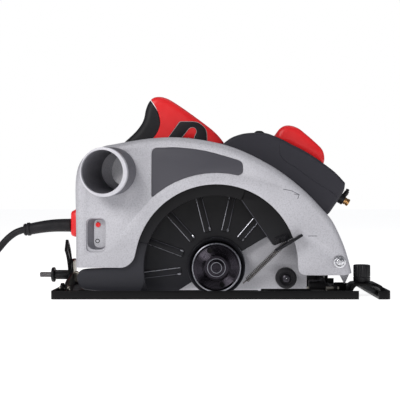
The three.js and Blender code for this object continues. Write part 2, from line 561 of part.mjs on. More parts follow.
// ---------------------------------------------------------------- lower guard, on the Y axis
function lowerGuard() {
  const at = (r, angle) => polar([0, 0], r, angle);
  const { y0, y1, rOut, rIn, flangeIn, lead, trail, wall } = GUARD;
  const sheet = slabY(band(0, 0, HUB.bore, rIn + 1, trail, lead), y1 - wall, y1, 14);
  const collar = cut(rodY(0, 0, HUB.collar, y1 - 9, y1, 40), rodY(0, 0, HUB.collar - 2.4, y1 - 10, y1 - wall, 40),
    rodY(0, 0, HUB.bore, y1 - 10, y1 + 1, 32));
  const rim = slabY(band(0, 0, rIn, rOut, 20, lead), y0, y1, 18);
  const flangeBand = slabY(band(0, 0, flangeIn, rIn + 1, 69, lead), y0, y0 + wall, 14);
  const arc = [];
  for (let angle = 21; angle <= 69; angle += 8) arc.push(at(rIn + 1, angle));
  const flangeEnd = slabY(outline([...arc, at(rIn + 1, 72), at(flangeIn, 71), at(56, 22), at(57, 20)]),
    y0, y0 + wall);
  const ribs = [];
  for (let i = 0; i < 6; i += 1) {
    ribs.push(block(36, rIn + 0.5, y1 - wall - 2, y1 - 1, -2.6, 2.6).rotate([0, -(49.5 + i * 27.5), 0]));
  }
  const inner = [160, 170, 181, 191].map((angle) => at(flangeIn, angle));
  const foot = slabY(outline([[-129.6, -9.6, 5], [-126, -1.6, 5], [-118, -0.4, 4], [-93, 0.5], [-95, 12],
    [-91, 28, 3], ...inner, [-71, -23.4, 1], [-106, -21.8, 6], [-125, -19.6, 6]]), y0, y0 + 3.5);
  const floor = block(-140, 110, y0 - 1, y1 + 1, -140, -SPINDLE.z + 0.7);
  return cut(join(sheet, collar, rim, flangeBand, flangeEnd, ...ribs, foot), floor);
}

// The paddle stands across the guard's trailing edge and reaches out past the near wall.
function guardLever() {
  const foot = slabX(rectangle(-53.6, GUARD.y0 - GAP, 60, 72.6), 2, 8);
  const paddle = slabX(outline([[GUARD.y0 - GAP, 56], [GUARD.y0 - GAP, 71], [-57.6, 71], [-57.6, 83, 2],
    [-69, 85, 3], [-69, 66, 6], [-60, 57, 4]]), 0.4, 2.8);
  const [hingeX, hingeZ] = [1.6, 62]; // the paddle stands a little steeper than the edge under it
  const steeper = paddle.translate([-hingeX, 0, -hingeZ]).rotate([0, -12.5, 0]).translate([hingeX, 0, hingeZ]);
  return join(foot, steeper).rotate([0, 90 - 19.5, 0]);
}

addPart('lower_guard', lowerGuard(), guardBlack, guardGroup);
addPart('guard_lever', guardLever(), guardBlack, guardGroup);

// ---------------------------------------------------------------- motor
function motorHousing() {
  const { x, z, r, wall, y0, y1 } = MOTOR;
  const vents = [];
  for (let i = 0; i < 7; i += 1) {
    const angle = 205 + i * 14;
    vents.push(block(r - 6, r + 3, 20, 33, -1.3, 1.3).rotate([0, -angle, 0]).translate([x, 0, z]));
  }
  const caps = [-1, 1].map((side) => rodX(99, z, 7.4, x + side * 30, x + side * 50, 20));
  return cut(ringY(x, z, r, r - wall, y0, y1, 48), ...vents, ...caps);
}

function endCap() {
  const { x, z, r } = MOTOR;
  const cup = turned([[0, 149], [r - 8, 149], [r - 1, 144], [r, 138], [r, 126.3], [r - 3, 126.3], [r - 3, 138],
    [r - 8, 145.6], [14.4, 145.6], [14.4, 112], [11.3, 112], [11.3, 145.6], [0, 145.6]], 48).translate([x, 0, z]);
  const vents = [];
  for (let i = -3; i <= 3; i += 1) {
    vents.push(block(-14, 14, 140, 152, i * 8 - 1.6, i * 8 + 1.6).translate([x, 0, z]));
  }
  const hub = rodY(x, z, 14.4, 100, 152, 28);
  return cut(cup, ...vents.map((vent) => cut(vent, hub)));
}

function statorCore() {
  return cut(ringY(MOTOR.x, MOTOR.z, 39.6, 26.4, 44, 86, 40),
    ...[-1, 1].map((side) => block(MOTOR.x - 12, MOTOR.x + 12, 43, 87, side > 0 ? MOTOR.z + 20 : MOTOR.z - 34,
      side > 0 ? MOTOR.z + 34 : MOTOR.z - 20)));
}

addPart('motor_housing', motorHousing(), darkPlastic, body);
addPart('motor_end_cap', endCap(), darkPlastic, body);
addPart('stator_core', statorCore(), laminated, body);
addPart('armature_bearing', bearing(11, 4.3, 112.5, 119.5).translate([MOTOR.x, 0, MOTOR.z]), brightSteel, body);
for (const [name, side] of [['front', 1], ['rear', -1]]) {
  const reach = (from, to) => [MOTOR.x + side * from, MOTOR.x + side * to].sort((a, b) => a - b);
  addPart(`carbon_brush_${name}`, block(...reach(13.4, 33), 95.5, 102.5, MOTOR.z - 3.2, MOTOR.z + 3.2),
    laminated, body);
  const cap = cut(rodX(99, MOTOR.z, 7, ...reach(33.4, 44.4), 20),
    block(...reach(43.4, 46), 98, 100, MOTOR.z - 5, MOTOR.z + 5));
  addPart(`brush_cap_${name}`, cap, blackPlastic, body);
}

// ---------------------------------------------------------------- front housing, grip and laser
const SEAM = [[-17, 84], [-12, 110], [-5, 135]]; // where the front housing meets the handle
const NOSE_TOP = [[3.7, 145.8], [17.6, 153.2], [31.3, 155.2], [43, 155], [53.7, 151.3], [68.7, 143.8], [87.4, 133.8],
  [98.4, 126.2], [110.6, 116.9], [120.3, 106.6]];

function frontHousing() {
  const shape = outline([...NOSE_TOP, [119.4, 99.2, 2], [112.4, 88.2], [103.2, 74.8], [88, 72], [66, 74, 8],
    [40, 60], [-17, 62], ...SEAM]);
  const motorGap = rodY(MOTOR.x, MOTOR.z, MOTOR.r + 0.4, NOSE.y0 - 2, NOSE.y1 + 2, 36);
  const underside = block(-40, 60, NOSE.y0 - 1, NOSE.y1 + 1, 20, 62);
  const hollow = slabY(outline([[2, 136, 6], [20, 148, 6], [44, 150, 6], [86, 128, 6], [108, 106, 6], [98, 84, 6],
    [60, 90, 8], [10, 98, 6], [-6, 112, 6]]), NOSE.y0 + 3, NOSE.y1 + 2);
  const switchHole = block(32.2, 44.8, 6.5, 15.5, 140, 160);
  const laserSeat = bar([108, -6, 96.8], [121, -6, 89.3], 5.4, 5.4, 16);
  return cut(slabY(shape, NOSE.y0, NOSE.y1), motorGap, underside, hollow, switchHole, laserSeat,
    slabY(disc(50, 115, 7), NOSE.y1 - 4, NOSE.y1 + 3));
}

function frontGrip() {
  const shape = outline([[54.9, 151.6, 1], [57, 159.6, 5], [65, 165.3, 6], [76, 163.4, 6], [92.5, 150, 8],
    [102.4, 140.4, 6], [104.2, 131, 4], [102.4, 124.4, 1], [98.8, 127.2], [87.8, 134.9], [69.2, 144.9]]);
  return slabY(shape, 14, 86);
}

const LASER_DIRECTION = [0.866, 0, -0.5];
const laserPoint = (t) => [114 + LASER_DIRECTION[0] * t, -6, 93.4 + LASER_DIRECTION[2] * t];

function laserModule() {
  const barrelSeat = bar(laserPoint(-6), laserPoint(7), 5, 5, 20);
  const screw = bar([121.4, -6, 94], [124.4, -6, 101.2], 1.8, 1.8, 10);
  return cut(join(barrelSeat, screw, bar(laserPoint(4), [123.4, -6, 98], 2.6, 2.6, 10)),
    bar(laserPoint(2), laserPoint(12), 3.9, 3.9, 20));
}

addPart('front_housing', frontHousing(), darkPlastic, body);
addPart('front_grip', frontGrip(), redPlastic, body);
addPart('laser_module', laserModule(), blackPlastic, body);
addPart('laser_barrel', cut(bar(laserPoint(2.6), laserPoint(12.4), 3.6, 3.6, 20),
  bar(laserPoint(10.5), laserPoint(14), 1.4, 1.4, 10)), brass, body);
addPart('laser_switch', slabY(outline([[32.6, 147.4], [44.4, 147.4], [44.4, 155.6, 1], [41.4, 159, 2],
  [35, 159, 2], [32.6, 156.4, 1]]), 7, 15), blackPlastic, body);

// ---------------------------------------------------------------- rear handle
// GRIP_START is the top of the finger opening's rear edge; the grip runs down and back from it.
const GRIP_START = [-40, 149];
const GRIP_ALONG = [-0.55, -0.835];
const GRIP_OUT = [0.835, -0.55];
const onGrip = (along, out) => [
  GRIP_START[0] + GRIP_ALONG[0] * along + GRIP_OUT[0] * out,
  GRIP_START[1] + GRIP_ALONG[1] * along + GRIP_OUT[1] * out];

const HANDLE_TOP = [[3.4, 148.6], [-4, 157.4], [-13, 165.2], [-35, 181.4]];
const HANDLE_BACK = [[-49.5, 190.8], [-56, 194], [-62.5, 195.2], [-69, 193.8], [-73.4, 188.6], [-76.4, 181],
  [-77.6, 174.4], [-80.2, 168], [-86, 160], [-95.2, 151.2], [-105, 142.4], [-117, 126], [-129, 108], [-141, 90]];

function handleOutline() {
  return outline([...HANDLE_TOP, ...HANDLE_BACK, [-148, 80.2, 3], [-152.5, 79, 2], [-152.5, 54, 2],
    [-148, 52.8, 3], [-112, 47], [-60, 47], [-20, 49],
    ...SEAM.map(([x, z]) => [x - 0.4, z])]);
}

function fingerOpening() {
  return outline([[-39.6, 149.4, 3], [-26, 150.2, 5], [-22.4, 142, 6], [-21, 128, 10], [-26, 108, 10], [-40, 88, 10],
    [-60, 70, 10], [-92, 64, 8], [-99, 68, 6], onGrip(60, 1), onGrip(1.5, 0)]);
}

// The rubber covers the back of the grip and wraps round both cheeks.
function gripRegion(inset, forward) {
  const back = offsetLine(HANDLE_BACK.slice(4), inset);
  const front = [[-132, 76], [-122, 88], [-108, 110], [-90, 134], [-71.5, 149.6], [-65, 157.8], [-62.2, 164.6],
    [-61.8, 170], [-63.6, 177.6], [-66.8, 184.4], [-70.4, 189.2]];
  return outline([...back, ...front.map(([x, z]) => [x + forward, z + (forward * (z - 130)) / 50])]);
}

const CHEEK = 3.2; // rubber thickness on the sides and back of the grip
const gripCore = (gap) => slabY(gripRegion(CHEEK + gap, 40), HANDLE.y0 + CHEEK + gap,
  HANDLE.y1 - CHEEK - gap);

function handleShell(y0, y1, faceY) {
  const whole = cut(slabY(handleOutline(), y0, y1), slabY(fingerOpening(), y0 - 1, y1 + 1));
  const toe = rodY(-133, 77.4, 2.4, y0 - 2, y1 + 2, 12); // the grip's lower corner
  const gripSpace = cut(join(slabY(gripRegion(-2, 0.9), y0 - 2, y1 + 2), toe), gripCore(GAP));
  const motorGap = rodY(MOTOR.x, MOTOR.z, MOTOR.r + 0.4, y0 - 2, y1 + 2, 36);
  const switchSpace = slabY(outline([onGrip(-7, -35), onGrip(-7, -14), onGrip(37, -14), onGrip(37, -35)]),
    30.6, 49.4);
  const triggerSpace = slabY(outline([onGrip(0.5, -15), onGrip(0.5, 2), onGrip(39.5, 2), onGrip(39.5, -15)]),
    32.4, 47.6);
  const cordWay = rodX(CORD_Y, 64.6, 4.4, -154, -110, 16);
  const buttonHole = rodY(...onGrip(-20, -20), 5.8, 47, 60, 20);
  const inlaySpace = slabY(inlayOutline(0.4), faceY - 1.2, faceY + 1.2);
  return cut(whole, gripSpace, motorGap, switchSpace, triggerSpace, cordWay, buttonHole, inlaySpace);
}

// Raised arch around the top of the finger opening.
function inlayOutline(grow = 0) {
  return outline([[-62 - grow, 141 - grow], [-41.4 - grow, 169.6 + grow, 1],
    [-23, 169.6 + grow, 6], [-14 + grow, 162, 5], [-13.6 + grow, 141 - grow, 1],
    [-28.4 - grow, 141 - grow], [-27.2 - grow, 153], [-24 - grow, 160, 3], [-26.6, 163.8 - grow, 3],
    [-31.4, 163.4 - grow, 3], [-38.6 + grow, 154.2], [-50 + grow, 141 - grow]]);
}

const inlay = (y0, y1) => cut(slabY(inlayOutline(0), y0, y1), slabY(fingerOpening(), y0 - 1, y1 + 1));

addPart('handle_shell_right', handleShell(HANDLE.y0, HANDLE.split - 0.15, HANDLE.y0), redPlastic, body);
addPart('handle_shell_left', handleShell(HANDLE.split + 0.15, HANDLE.y1, HANDLE.y1), redPlastic, body);
addPart('handle_inlay_right', inlay(HANDLE.y0 - 0.5, HANDLE.y0 + 0.9), rubber, body);
addPart('handle_inlay_left', inlay(HANDLE.y1 - 0.9, HANDLE.y1 + 0.5), rubber, body);
addPart('handle_grip', cut(slabY(gripRegion(0, 0), HANDLE.y0 - 0.4, HANDLE.y1 + 0.4), gripCore(0)),
  rubber, body);
addPart('trigger', slabY(outline([onGrip(2, -5), onGrip(3.5, 7.5), onGrip(12, 10.5), onGrip(22, 9),
  onGrip(38.5, 12), onGrip(38.5, -5)]), 33, 47), redPlastic, body);
addPart('trigger_switch', slabY(outline([onGrip(-6, -34.5), onGrip(-6, -14.5), onGrip(36, -14.5),
  onGrip(36, -34.5)]), 31, 49), blackPlastic, body);
addPart('lock_off_button', rodY(...onGrip(-20, -20), 5.4, 51, 60.5, 20), blackPlastic, body);
addPart('spindle_lock_button', join(rodX(LOCK_Y, SPINDLE.z, 3.2, 28.5, 38, 16),
  rodX(LOCK_Y, SPINDLE.z, 5.6, 37.5, 41, 20)),
  blackPlastic, body);

// ---------------------------------------------------------------- cord
// The cord leaves the boot level, falls to the surface the saw stands on and meets its coil.
const CORD_ROUTE = [
  [-203.8, 35, 59.6], [-211, 34.9, 56.6], [-219, 34.2, 50.2], [-227, 32.4, 40.6], [-235, 29.2, 29.6],
  [-243, 24.2, 18.8], [-251, 17.4, 10], [-259, 9.4, 5.2], [-267, 2, 3.8], [-275, -4, 3.7],
  [-283, -7.4, 3.7], [-290.6, -8.6, 3.7]];

function cordBoot() {
  const way = (t) => [-153.3 - 48 * t, CORD_Y, 64.6 - 4.6 * t];
  const sleeve = bar(way(0), way(0.93), 6.7, 5.6, 20);
  const ring = bar(way(0.9), way(1), 6.4, 6.2, 24);
  const bore = bar(way(0.84), way(1.1), 3.9, 3.9, 16);
  return cut(join(sleeve, ring), bore);
}

function cordTube() {
  const section = new THREE.Shape();
  for (let i = 0; i < 8; i += 1) {
    const [x, y] = polar([0, 0], CORD_R, i * 45 + 22.5);
    if (i === 0) section.moveTo(x, y);
    else section.lineTo(x, y);
  }
  section.closePath();
  const path = new THREE.CatmullRomCurve3(CORD_ROUTE.map((point) => new THREE.Vector3(...point)));
  return solidOf(new THREE.ExtrudeGeometry(section, { steps: 20, extrudePath: path, bevelEnabled: false }));
}

function cordCoil() {
  const ring = turned([[COIL.rIn, 0.2], [COIL.rOut, 0.2], [COIL.rOut, COIL.height], [COIL.rIn, COIL.height]], 40);
  return ring.rotate([90, 0, 0]).translate([COIL.x, COIL.y, 0]);
}

// The plug lies flat on the coil, its pins along +Y.
const PLUG = { x: COIL.x - 38, y: COIL.y - 26, z0: COIL.height + GAP, width: 36, length: 44, thick: 20 };

function plug() {
  const half = PLUG.width / 2;
  const shell = slabZ(outline([[PLUG.x - 7, PLUG.y, 3], [PLUG.x + 7, PLUG.y, 3],
    [PLUG.x + half, PLUG.y + 22, 8], [PLUG.x + half, PLUG.y + PLUG.length, 2],
    [PLUG.x - half, PLUG.y + PLUG.length, 2], [PLUG.x - half, PLUG.y + 22, 8]]), PLUG.z0, PLUG.z0 + PLUG.thick);
  const pins = [-9.5, 9.5].map((side) => bar([PLUG.x + side, PLUG.y + PLUG.length - 2, PLUG.z0 + 10],
    [PLUG.x + side, PLUG.y + PLUG.length + 19, PLUG.z0 + 10], 2.4, 2.4, 12));
  return join(shell, ...pins);
}

addPart('cord_boot', cordBoot(), rubber, body);
addPart('power_cord', cordTube(), rubber, body);
addPart('cord_coil', cordCoil(), rubber, body);
addPart('cord_plug', plug(), rubber, body);

export default saw;
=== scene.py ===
"""A hand-held circular saw on its sole, with no blade fitted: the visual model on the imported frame.

The helpers take millimetres in the row frame: X forward, Y towards the motor, Z up, the sole at Z 0.
"""
import math

import bmesh
import bpy
from mathutils import Matrix, Vector


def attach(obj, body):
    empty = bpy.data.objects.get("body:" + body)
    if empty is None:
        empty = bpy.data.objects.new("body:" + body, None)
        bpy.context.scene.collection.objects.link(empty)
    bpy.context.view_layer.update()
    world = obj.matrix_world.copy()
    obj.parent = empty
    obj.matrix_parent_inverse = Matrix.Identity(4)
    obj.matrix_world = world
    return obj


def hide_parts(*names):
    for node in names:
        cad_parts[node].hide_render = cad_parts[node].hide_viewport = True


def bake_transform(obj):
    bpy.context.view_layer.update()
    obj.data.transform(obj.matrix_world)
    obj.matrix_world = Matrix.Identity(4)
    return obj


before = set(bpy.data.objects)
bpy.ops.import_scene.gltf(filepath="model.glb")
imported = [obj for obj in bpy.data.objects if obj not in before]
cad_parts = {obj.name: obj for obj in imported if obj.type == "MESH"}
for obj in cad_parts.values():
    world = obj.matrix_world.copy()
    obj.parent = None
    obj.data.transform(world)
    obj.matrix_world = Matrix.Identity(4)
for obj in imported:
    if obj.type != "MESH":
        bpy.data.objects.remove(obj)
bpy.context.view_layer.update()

MM = 0.001
SPINDLE = (-4.0, 27.0)
MOTOR = (6.563, 46.866)
MOTOR_R = 43.0
DEPTH_PIVOT = (109.0, 33.0)
PIVOT_HOLE_R = 4.3
BEVEL = (-48.0, 8.0)
TILT_HOLE_R = 2.3
CORD_Y = 35.0
CORD_R = 3.5
HANDLE_Y = (22.0, 58.0)
SPLIT_Y = 40.0
NEAR_FACE = -56.0
BACK_EDGE = -20.3


# ---------------------------------------------------------------- camera
# It looks straight at the blade side, along +Y.
CAMERA_AT = (1.2, -830.0, 83.3)
camera_data = bpy.data.cameras.new("camera")
camera_data.sensor_width = 36
camera_data.lens = 75.96
camera_data.shift_x = -0.055
camera_data.shift_y = 0.0175
camera_data.clip_start = 0.01
camera = bpy.data.objects.new("camera", camera_data)
camera.location = Vector(CAMERA_AT) * MM
camera.rotation_euler = (math.pi / 2, 0, 0)
bpy.context.scene.collection.objects.link(camera)
bpy.context.scene.camera = camera


# ---------------------------------------------------------------- outlines
def polar(centre, radius, degrees):
    angle = math.radians(degrees)
    return (centre[0] + radius * math.cos(angle), centre[1] + radius * math.sin(angle))


def outline(points, steps=5):
    """A closed outline of (u, v, corner radius) points, its corners rounded."""
    path = []
    count = len(points)
    for i, point in enumerate(points):
        here = Vector(point[:2])
        radius = point[2] if len(point) > 2 else 0
        before = Vector(points[i - 1][:2]) - here
        after = Vector(points[(i + 1) % count][:2]) - here
        reach = min(radius, before.length * 0.49, after.length * 0.49)
        if reach <= 0:
            path.append(tuple(here))
            continue
        start = here + before.normalized() * reach
        end = here + after.normalized() * reach
        for k in range(steps + 1):
            t = k / steps
            path.append(tuple(start * (1 - t) ** 2 + here * 2 * t * (1 - t) + end * t * t))
    return path


def smooth_line(points, steps=5):
    """Points along a smooth curve through the given ones, of two or three numbers each."""
    vectors = [Vector(p) for p in points]
    vectors = [2 * vectors[0] - vectors[1], *vectors, 2 * vectors[-1] - vectors[-2]]
    path = []
    for a, b, c, d in zip(vectors, vectors[1:], vectors[2:], vectors[3:]):
        for k in range(steps):
            t = k / steps
            path.append(0.5 * (2 * b + (c - a) * t + (2 * a - 5 * b + 4 * c - d) * t * t
                               + (3 * b - a - 3 * c + d) * t ** 3))
    path.append(vectors[-2])
    return [tuple(p) for p in path]


def offset_line(points, distance):
    """A line of points moved sideways, to their left."""
    moved = []
    for i, point in enumerate(points):
        before = Vector(points[max(i - 1, 0)])
        after = Vector(points[min(i + 1, len(points) - 1)])
        along = (after - before).normalized()
        moved.append((point[0] - along.y * distance, point[1] + along.x * distance))
    return moved


def rectangle(u0, u1, v0, v1, radius=0.0):
    return outline([(u0, v0, radius), (u1, v0, radius), (u1, v1, radius), (u0, v1, radius)])


def circle(centre, radius, count=40):
    return [polar(centre, radius, i * 360 / count) for i in range(count)]


def arc(centre, radius, first, last, count=24):
    return [polar(centre, radius, first + (last - first) * i / count) for i in range(count + 1)]


def turn_angles(count):
    """The angles of so many equal steps round a full turn."""
    return [2 * math.pi * i / count for i in range(count)]


def capsule(start, end, half_width, count=8):
    """A long rounded slot between two points."""
    angle = math.degrees(math.atan2(end[1] - start[1], end[0] - start[0]))
    return (arc(start, half_width, angle + 90, angle + 270, count)
            + arc(end, half_width, angle - 90, angle + 90, count))


# ---------------------------------------------------------------- meshes
# Points this near each other, in metres, are one; edges this short are dropped.
DOUBLED = 2e-6
TOO_SHORT = 1e-7
# Where an outline's (u, v) and the distance w along its normal go.
AXES = {
    "X": Matrix(((0, 0, 1), (1, 0, 0), (0, 1, 0))),
    "Y": Matrix(((1, 0, 0), (0, 0, -1), (0, 1, 0))),
    "Z": Matrix.Identity(3),
}


def link(name, mesh):
    obj = bpy.data.objects.new(name, mesh)
    bpy.context.scene.collection.objects.link(obj)
    return obj


def tidy(mesh):
    """Merges doubled points and turns the faces outwards."""
    work = bmesh.new()
    work.from_mesh(mesh)
    bmesh.ops.remove_doubles(work, verts=work.verts, dist=DOUBLED)
    bmesh.ops.dissolve_degenerate(work, edges=work.edges, dist=TOO_SHORT)
    bmesh.ops.recalc_face_normals(work, faces=work.faces)
    work.to_mesh(mesh)
    work.free()
    return mesh


def solid(name, points, faces):
    mesh = bpy.data.meshes.new(name)
    mesh.from_pydata([Vector(p) * MM for p in points], [], faces)
    return link(name, tidy(mesh))


def skin(name, rings, closed=False, caps=True):
    """A surface over a row of rings of the same number of points."""
    size = len(rings[0])
    points = [p for ring in rings for p in ring]
    faces = []
    spans = len(rings) if closed else len(rings) - 1
    for i in range(spans):
        j = (i + 1) % len(rings)
        for k in range(size):
            n = (k + 1) % size
            faces.append((i * size + k, i * size + n, j * size + n, j * size + k))
    if caps and not closed:
        faces.append(tuple(range(size)))
        faces.append(tuple(range(len(points) - size, len(points))))
    return solid(name, points, faces)


def prism(name, outlines, low, high, axis="Y", edge=0.5, steps=2):
    """A plate of an outline with holes, between two distances along an axis, its edges rounded."""
    curve = bpy.data.curves.new(name, "CURVE")
    curve.dimensions = "2D"
    curve.fill_mode = "BOTH"
    for i, points in enumerate(outlines):
        area = sum(a[0] * b[1] - b[0] * a[1] for a, b in zip(points, [*points[1:], points[0]]))
        if (area > 0) != (i == 0):
            points = points[::-1]
        spline = curve.splines.new("POLY")
        spline.points.add(len(points) - 1)
        for place, (u, v) in zip(spline.points, points):
            place.co = (u * MM, v * MM, 0, 1)
        spline.use_cyclic_u = True
    half = (high - low) / 2
    rounding = min(edge, half * 0.98)
    curve.extrude = (half - rounding) * MM
    curve.bevel_depth = rounding * MM
    curve.bevel_resolution = steps
    curve.offset = -rounding * MM
    drawn = bpy.data.objects.new(name, curve)
    mesh = bpy.data.meshes.new_from_object(drawn)
    middle = -(low + high) / 2 if axis == "Y" else (low + high) / 2
    mesh.transform(AXES[axis].to_4x4() @ Matrix.Translation((0, 0, middle * MM)))
    bpy.data.objects.remove(drawn)
    bpy.data.curves.remove(curve)
    return link(name, tidy(mesh))


def directions(along):
    """Two directions square to one, and to each other."""
    along = Vector(along).normalized()
    side = Vector((0, 0, 1)).cross(along)
    if side.length < 0.1:
        side = Vector((1, 0, 0))
    side.normalize()
    return side, along.cross(side)


def turned(name, profile, at=(0, 0, 0), along=(0, 1, 0), count=56):
    """A turned piece: (radius, distance, corner radius) points round an axis from a point."""
    along = Vector(along).normalized()
    side, up = directions(along)
    edge = outline(profile, 3)
    rings = []
    for angle in turn_angles(count):
        out = side * math.cos(angle) + up * math.sin(angle)
        rings.append([Vector(at) + out * max(r, 0) + along * t for r, t in edge])
    return skin(name, rings, closed=True)


def sweep(name, points, radius, sides=12):
    """A round bar along points. The radius is one number or one for each point."""
    path = [Vector(p) for p in points]
    radii = [radius] * len(path) if isinstance(radius, (int, float)) else radius
    tangents = [(path[min(i + 1, len(path) - 1)] - path[max(i - 1, 0)]).normalized()
                for i in range(len(path))]
    side = directions(tangents[0])[0]
    rings = []
    for point, tangent, r in zip(path, tangents, radii):
        side = (side - tangent * side.dot(tangent)).normalized()
        up = tangent.cross(side)
        rings.append([point + (side * math.cos(a) + up * math.sin(a)) * r for a in turn_angles(sides)])
    return skin(name, rings)


def rod(name, start, end, radius, count=32):
    length = (Vector(end) - Vector(start)).length
    return turned(name, [(0, 0), (radius, 0), (radius, length), (0, length)], start,
                  Vector(end) - Vector(start), count)


def at_y(point, y):
    """A point of the XZ plane, moved to a distance along Y."""
    return (point[0], y, point[1])


def rod_along_y(name, point, y0, y1, radius, count=32):
    return rod(name, at_y(point, y0), at_y(point, y1), radius, count)


def box(name, x0, x1, y0, y1, z0, z1):
    return prism(name, [[(x0, z0), (x1, z0), (x1, z1), (x0, z1)]], y0, y1, edge=0)


def apply(obj):
    """Makes the modifiers part of the mesh."""
    bpy.context.view_layer.update()
    shown = obj.evaluated_get(bpy.context.evaluated_depsgraph_get())
    mesh = bpy.data.meshes.new_from_object(shown)
    old = obj.data
    obj.modifiers.clear()
    obj.data = mesh
    bpy.data.meshes.remove(old)
    return obj


def combine(obj, *others):
    """Others become part of obj, as they are."""
    work = bmesh.new()
    for piece in (obj, *others):
        work.from_mesh(piece.data)
    work.to_mesh(obj.data)
    work.free()
    for piece in others:
        bpy.data.objects.remove(piece)
    return obj


def cut(obj, *tools, operation="DIFFERENCE"):
    """Cuts the tools out of obj, one after another."""
    for tool in tools:
        change = obj.modifiers.new("cut", "BOOLEAN")
        change.operation = operation
        change.solver = "EXACT"
        change.object = tool
        apply(obj)
        bpy.data.objects.remove(tool)
        tidy(obj.data)
    return obj


def bevel(obj, width, segments=2, angle=40):
    change = obj.modifiers.new("bevel", "BEVEL")
    change.width = width * MM
    change.segments = segments
    change.limit_method = "ANGLE"
    change.angle_limit = math.radians(angle)
    return apply(obj)


def soften(obj, cell, rounds, keep=0.35):
    """Turns a blocky solid into a moulded one: remeshed, smoothed, then thinned."""
    change = obj.modifiers.new("cells", "REMESH")
    change.mode = "VOXEL"
    change.voxel_size = cell * MM
    relax = obj.modifiers.new("relax", "SMOOTH")
    relax.factor = 0.5
    relax.iterations = rounds
    thin = obj.modifiers.new("thin", "DECIMATE")
    thin.ratio = keep
    return apply(obj)


def clip(obj, at, normal):
    """Cuts off what lies on the normal's side of a plane and closes the cut."""
    work = bmesh.new()
    work.from_mesh(obj.data)
    result = bmesh.ops.bisect_plane(work, geom=[*work.verts, *work.edges, *work.faces],
                                    plane_co=Vector(at) * MM, plane_no=Vector(normal), clear_outer=True)
    edges = [e for e in result["geom_cut"] if isinstance(e, bmesh.types.BMEdge)]
    bmesh.ops.edgenet_fill(work, edges=edges)
    bmesh.ops.recalc_face_normals(work, faces=work.faces)
    work.to_mesh(obj.data)
    work.free()
    return obj


def copy(obj, name):
    return link(name, obj.data.copy())


# ---------------------------------------------------------------- materials
def colour(red, green, blue):
    """A screen colour of 0 to 255 as a linear one."""
    def linear(value):
        value /= 255
        return value / 12.92 if value <= 0.04045 else ((value + 0.055) / 1.055) ** 2.4
    return (linear(red), linear(green), linear(blue), 1.0)


class Look:
    """A material whose colour, roughness and relief vary with noise."""

    def __init__(self, name, base, roughness, metallic=0.0, specular=0.5):
        self.material = bpy.data.materials.new(name)
        self.material.use_nodes = True
        self.tree = self.material.node_tree
        self.shader = self.tree.nodes["Principled BSDF"]
        self.base = base
        self.shader.inputs["Base Color"].default_value = base
        self.shader.inputs["Roughness"].default_value = roughness
        self.shader.inputs["Metallic"].default_value = metallic
        self.shader.inputs["Specular IOR Level"].default_value = specular
        self.place = self.node("ShaderNodeTexCoord").outputs["Object"]
        self.height = None

    def node(self, kind):
        return self.tree.nodes.new(kind)

    def noise(self, per_mm, detail=4.0, stretch=None):
        """Noise of so many waves for each millimetre."""
        place = self.place
        if stretch:
            mapping = self.node("ShaderNodeMapping")
            mapping.inputs["Scale"].default_value = stretch
            self.tree.links.new(place, mapping.inputs["Vector"])
            place = mapping.outputs["Vector"]
        texture = self.node("ShaderNodeTexNoise")
        texture.inputs["Scale"].default_value = per_mm / MM
        texture.inputs["Detail"].default_value = detail
        self.tree.links.new(place, texture.inputs["Vector"])
        return texture.outputs["Fac"]

    def ramp(self, value, low, high, first, last):
        """Maps a value from low..high to first..last."""
        change = self.node("ShaderNodeMapRange")
        change.inputs["From Min"].default_value = low
        change.inputs["From Max"].default_value = high
        change.inputs["To Min"].default_value = first
        change.inputs["To Max"].default_value = last
        self.tree.links.new(value, change.inputs["Value"])
        return change.outputs["Result"]

    def mix(self, share, other):
        """The base colour turns into another one by a share."""
        change = self.node("ShaderNodeMix")
        change.data_type = "RGBA"
        self.tree.links.new(share, change.inputs["Factor"])
        linked = self.shader.inputs["Base Color"].links
        if linked:
            self.tree.links.new(linked[0].from_socket, change.inputs["A"])
        else:
            change.inputs["A"].default_value = self.base
        change.inputs["B"].default_value = other
        self.tree.links.new(change.outputs["Result"], self.shader.inputs["Base Color"])
        return self

    def rough(self, value):
        self.tree.links.new(value, self.shader.inputs["Roughness"])
        return self

    def relief(self, value, depth_mm, strength=1.0):
        bump = self.node("ShaderNodeBump")
        bump.inputs["Strength"].default_value = strength
        bump.inputs["Distance"].default_value = depth_mm * MM
        self.tree.links.new(value, bump.inputs["Height"])
        if self.height:
            self.tree.links.new(self.height, bump.inputs["Normal"])
        self.height = bump.outputs["Normal"]
        self.tree.links.new(self.height, self.shader.inputs["Normal"])
        return self


def plastic(name, base, roughness, grain=0.03, specular=0.5, dust=0.12):
    look = Look(name, base, roughness, 0.0, specular)
    lighter = tuple(min(1, c * 1.6 + 0.01) for c in base[:3]) + (1,)
    look.mix(look.ramp(look.noise(0.02, 5), 0.4, 0.75, 0.0, dust), lighter)
    look.rough(look.ramp(look.noise(0.15, 5), 0.3, 0.7, roughness - 0.07, roughness + 0.07))
    look.relief(look.noise(2.2, 3), grain, 0.5)
    return look


def metal(name, base, roughness, dark, streaks=None, relief=0.01, metallic=1.0):
    look = Look(name, base, roughness, metallic)
    look.mix(look.ramp(look.noise(0.08, 6), 0.35, 0.75, 0.0, 0.45), dark)
    look.rough(look.ramp(look.noise(0.5, 5, streaks), 0.3, 0.7, roughness - 0.08, roughness + 0.1))
    look.relief(look.noise(1.5, 4, streaks), relief, 0.6)
    return look


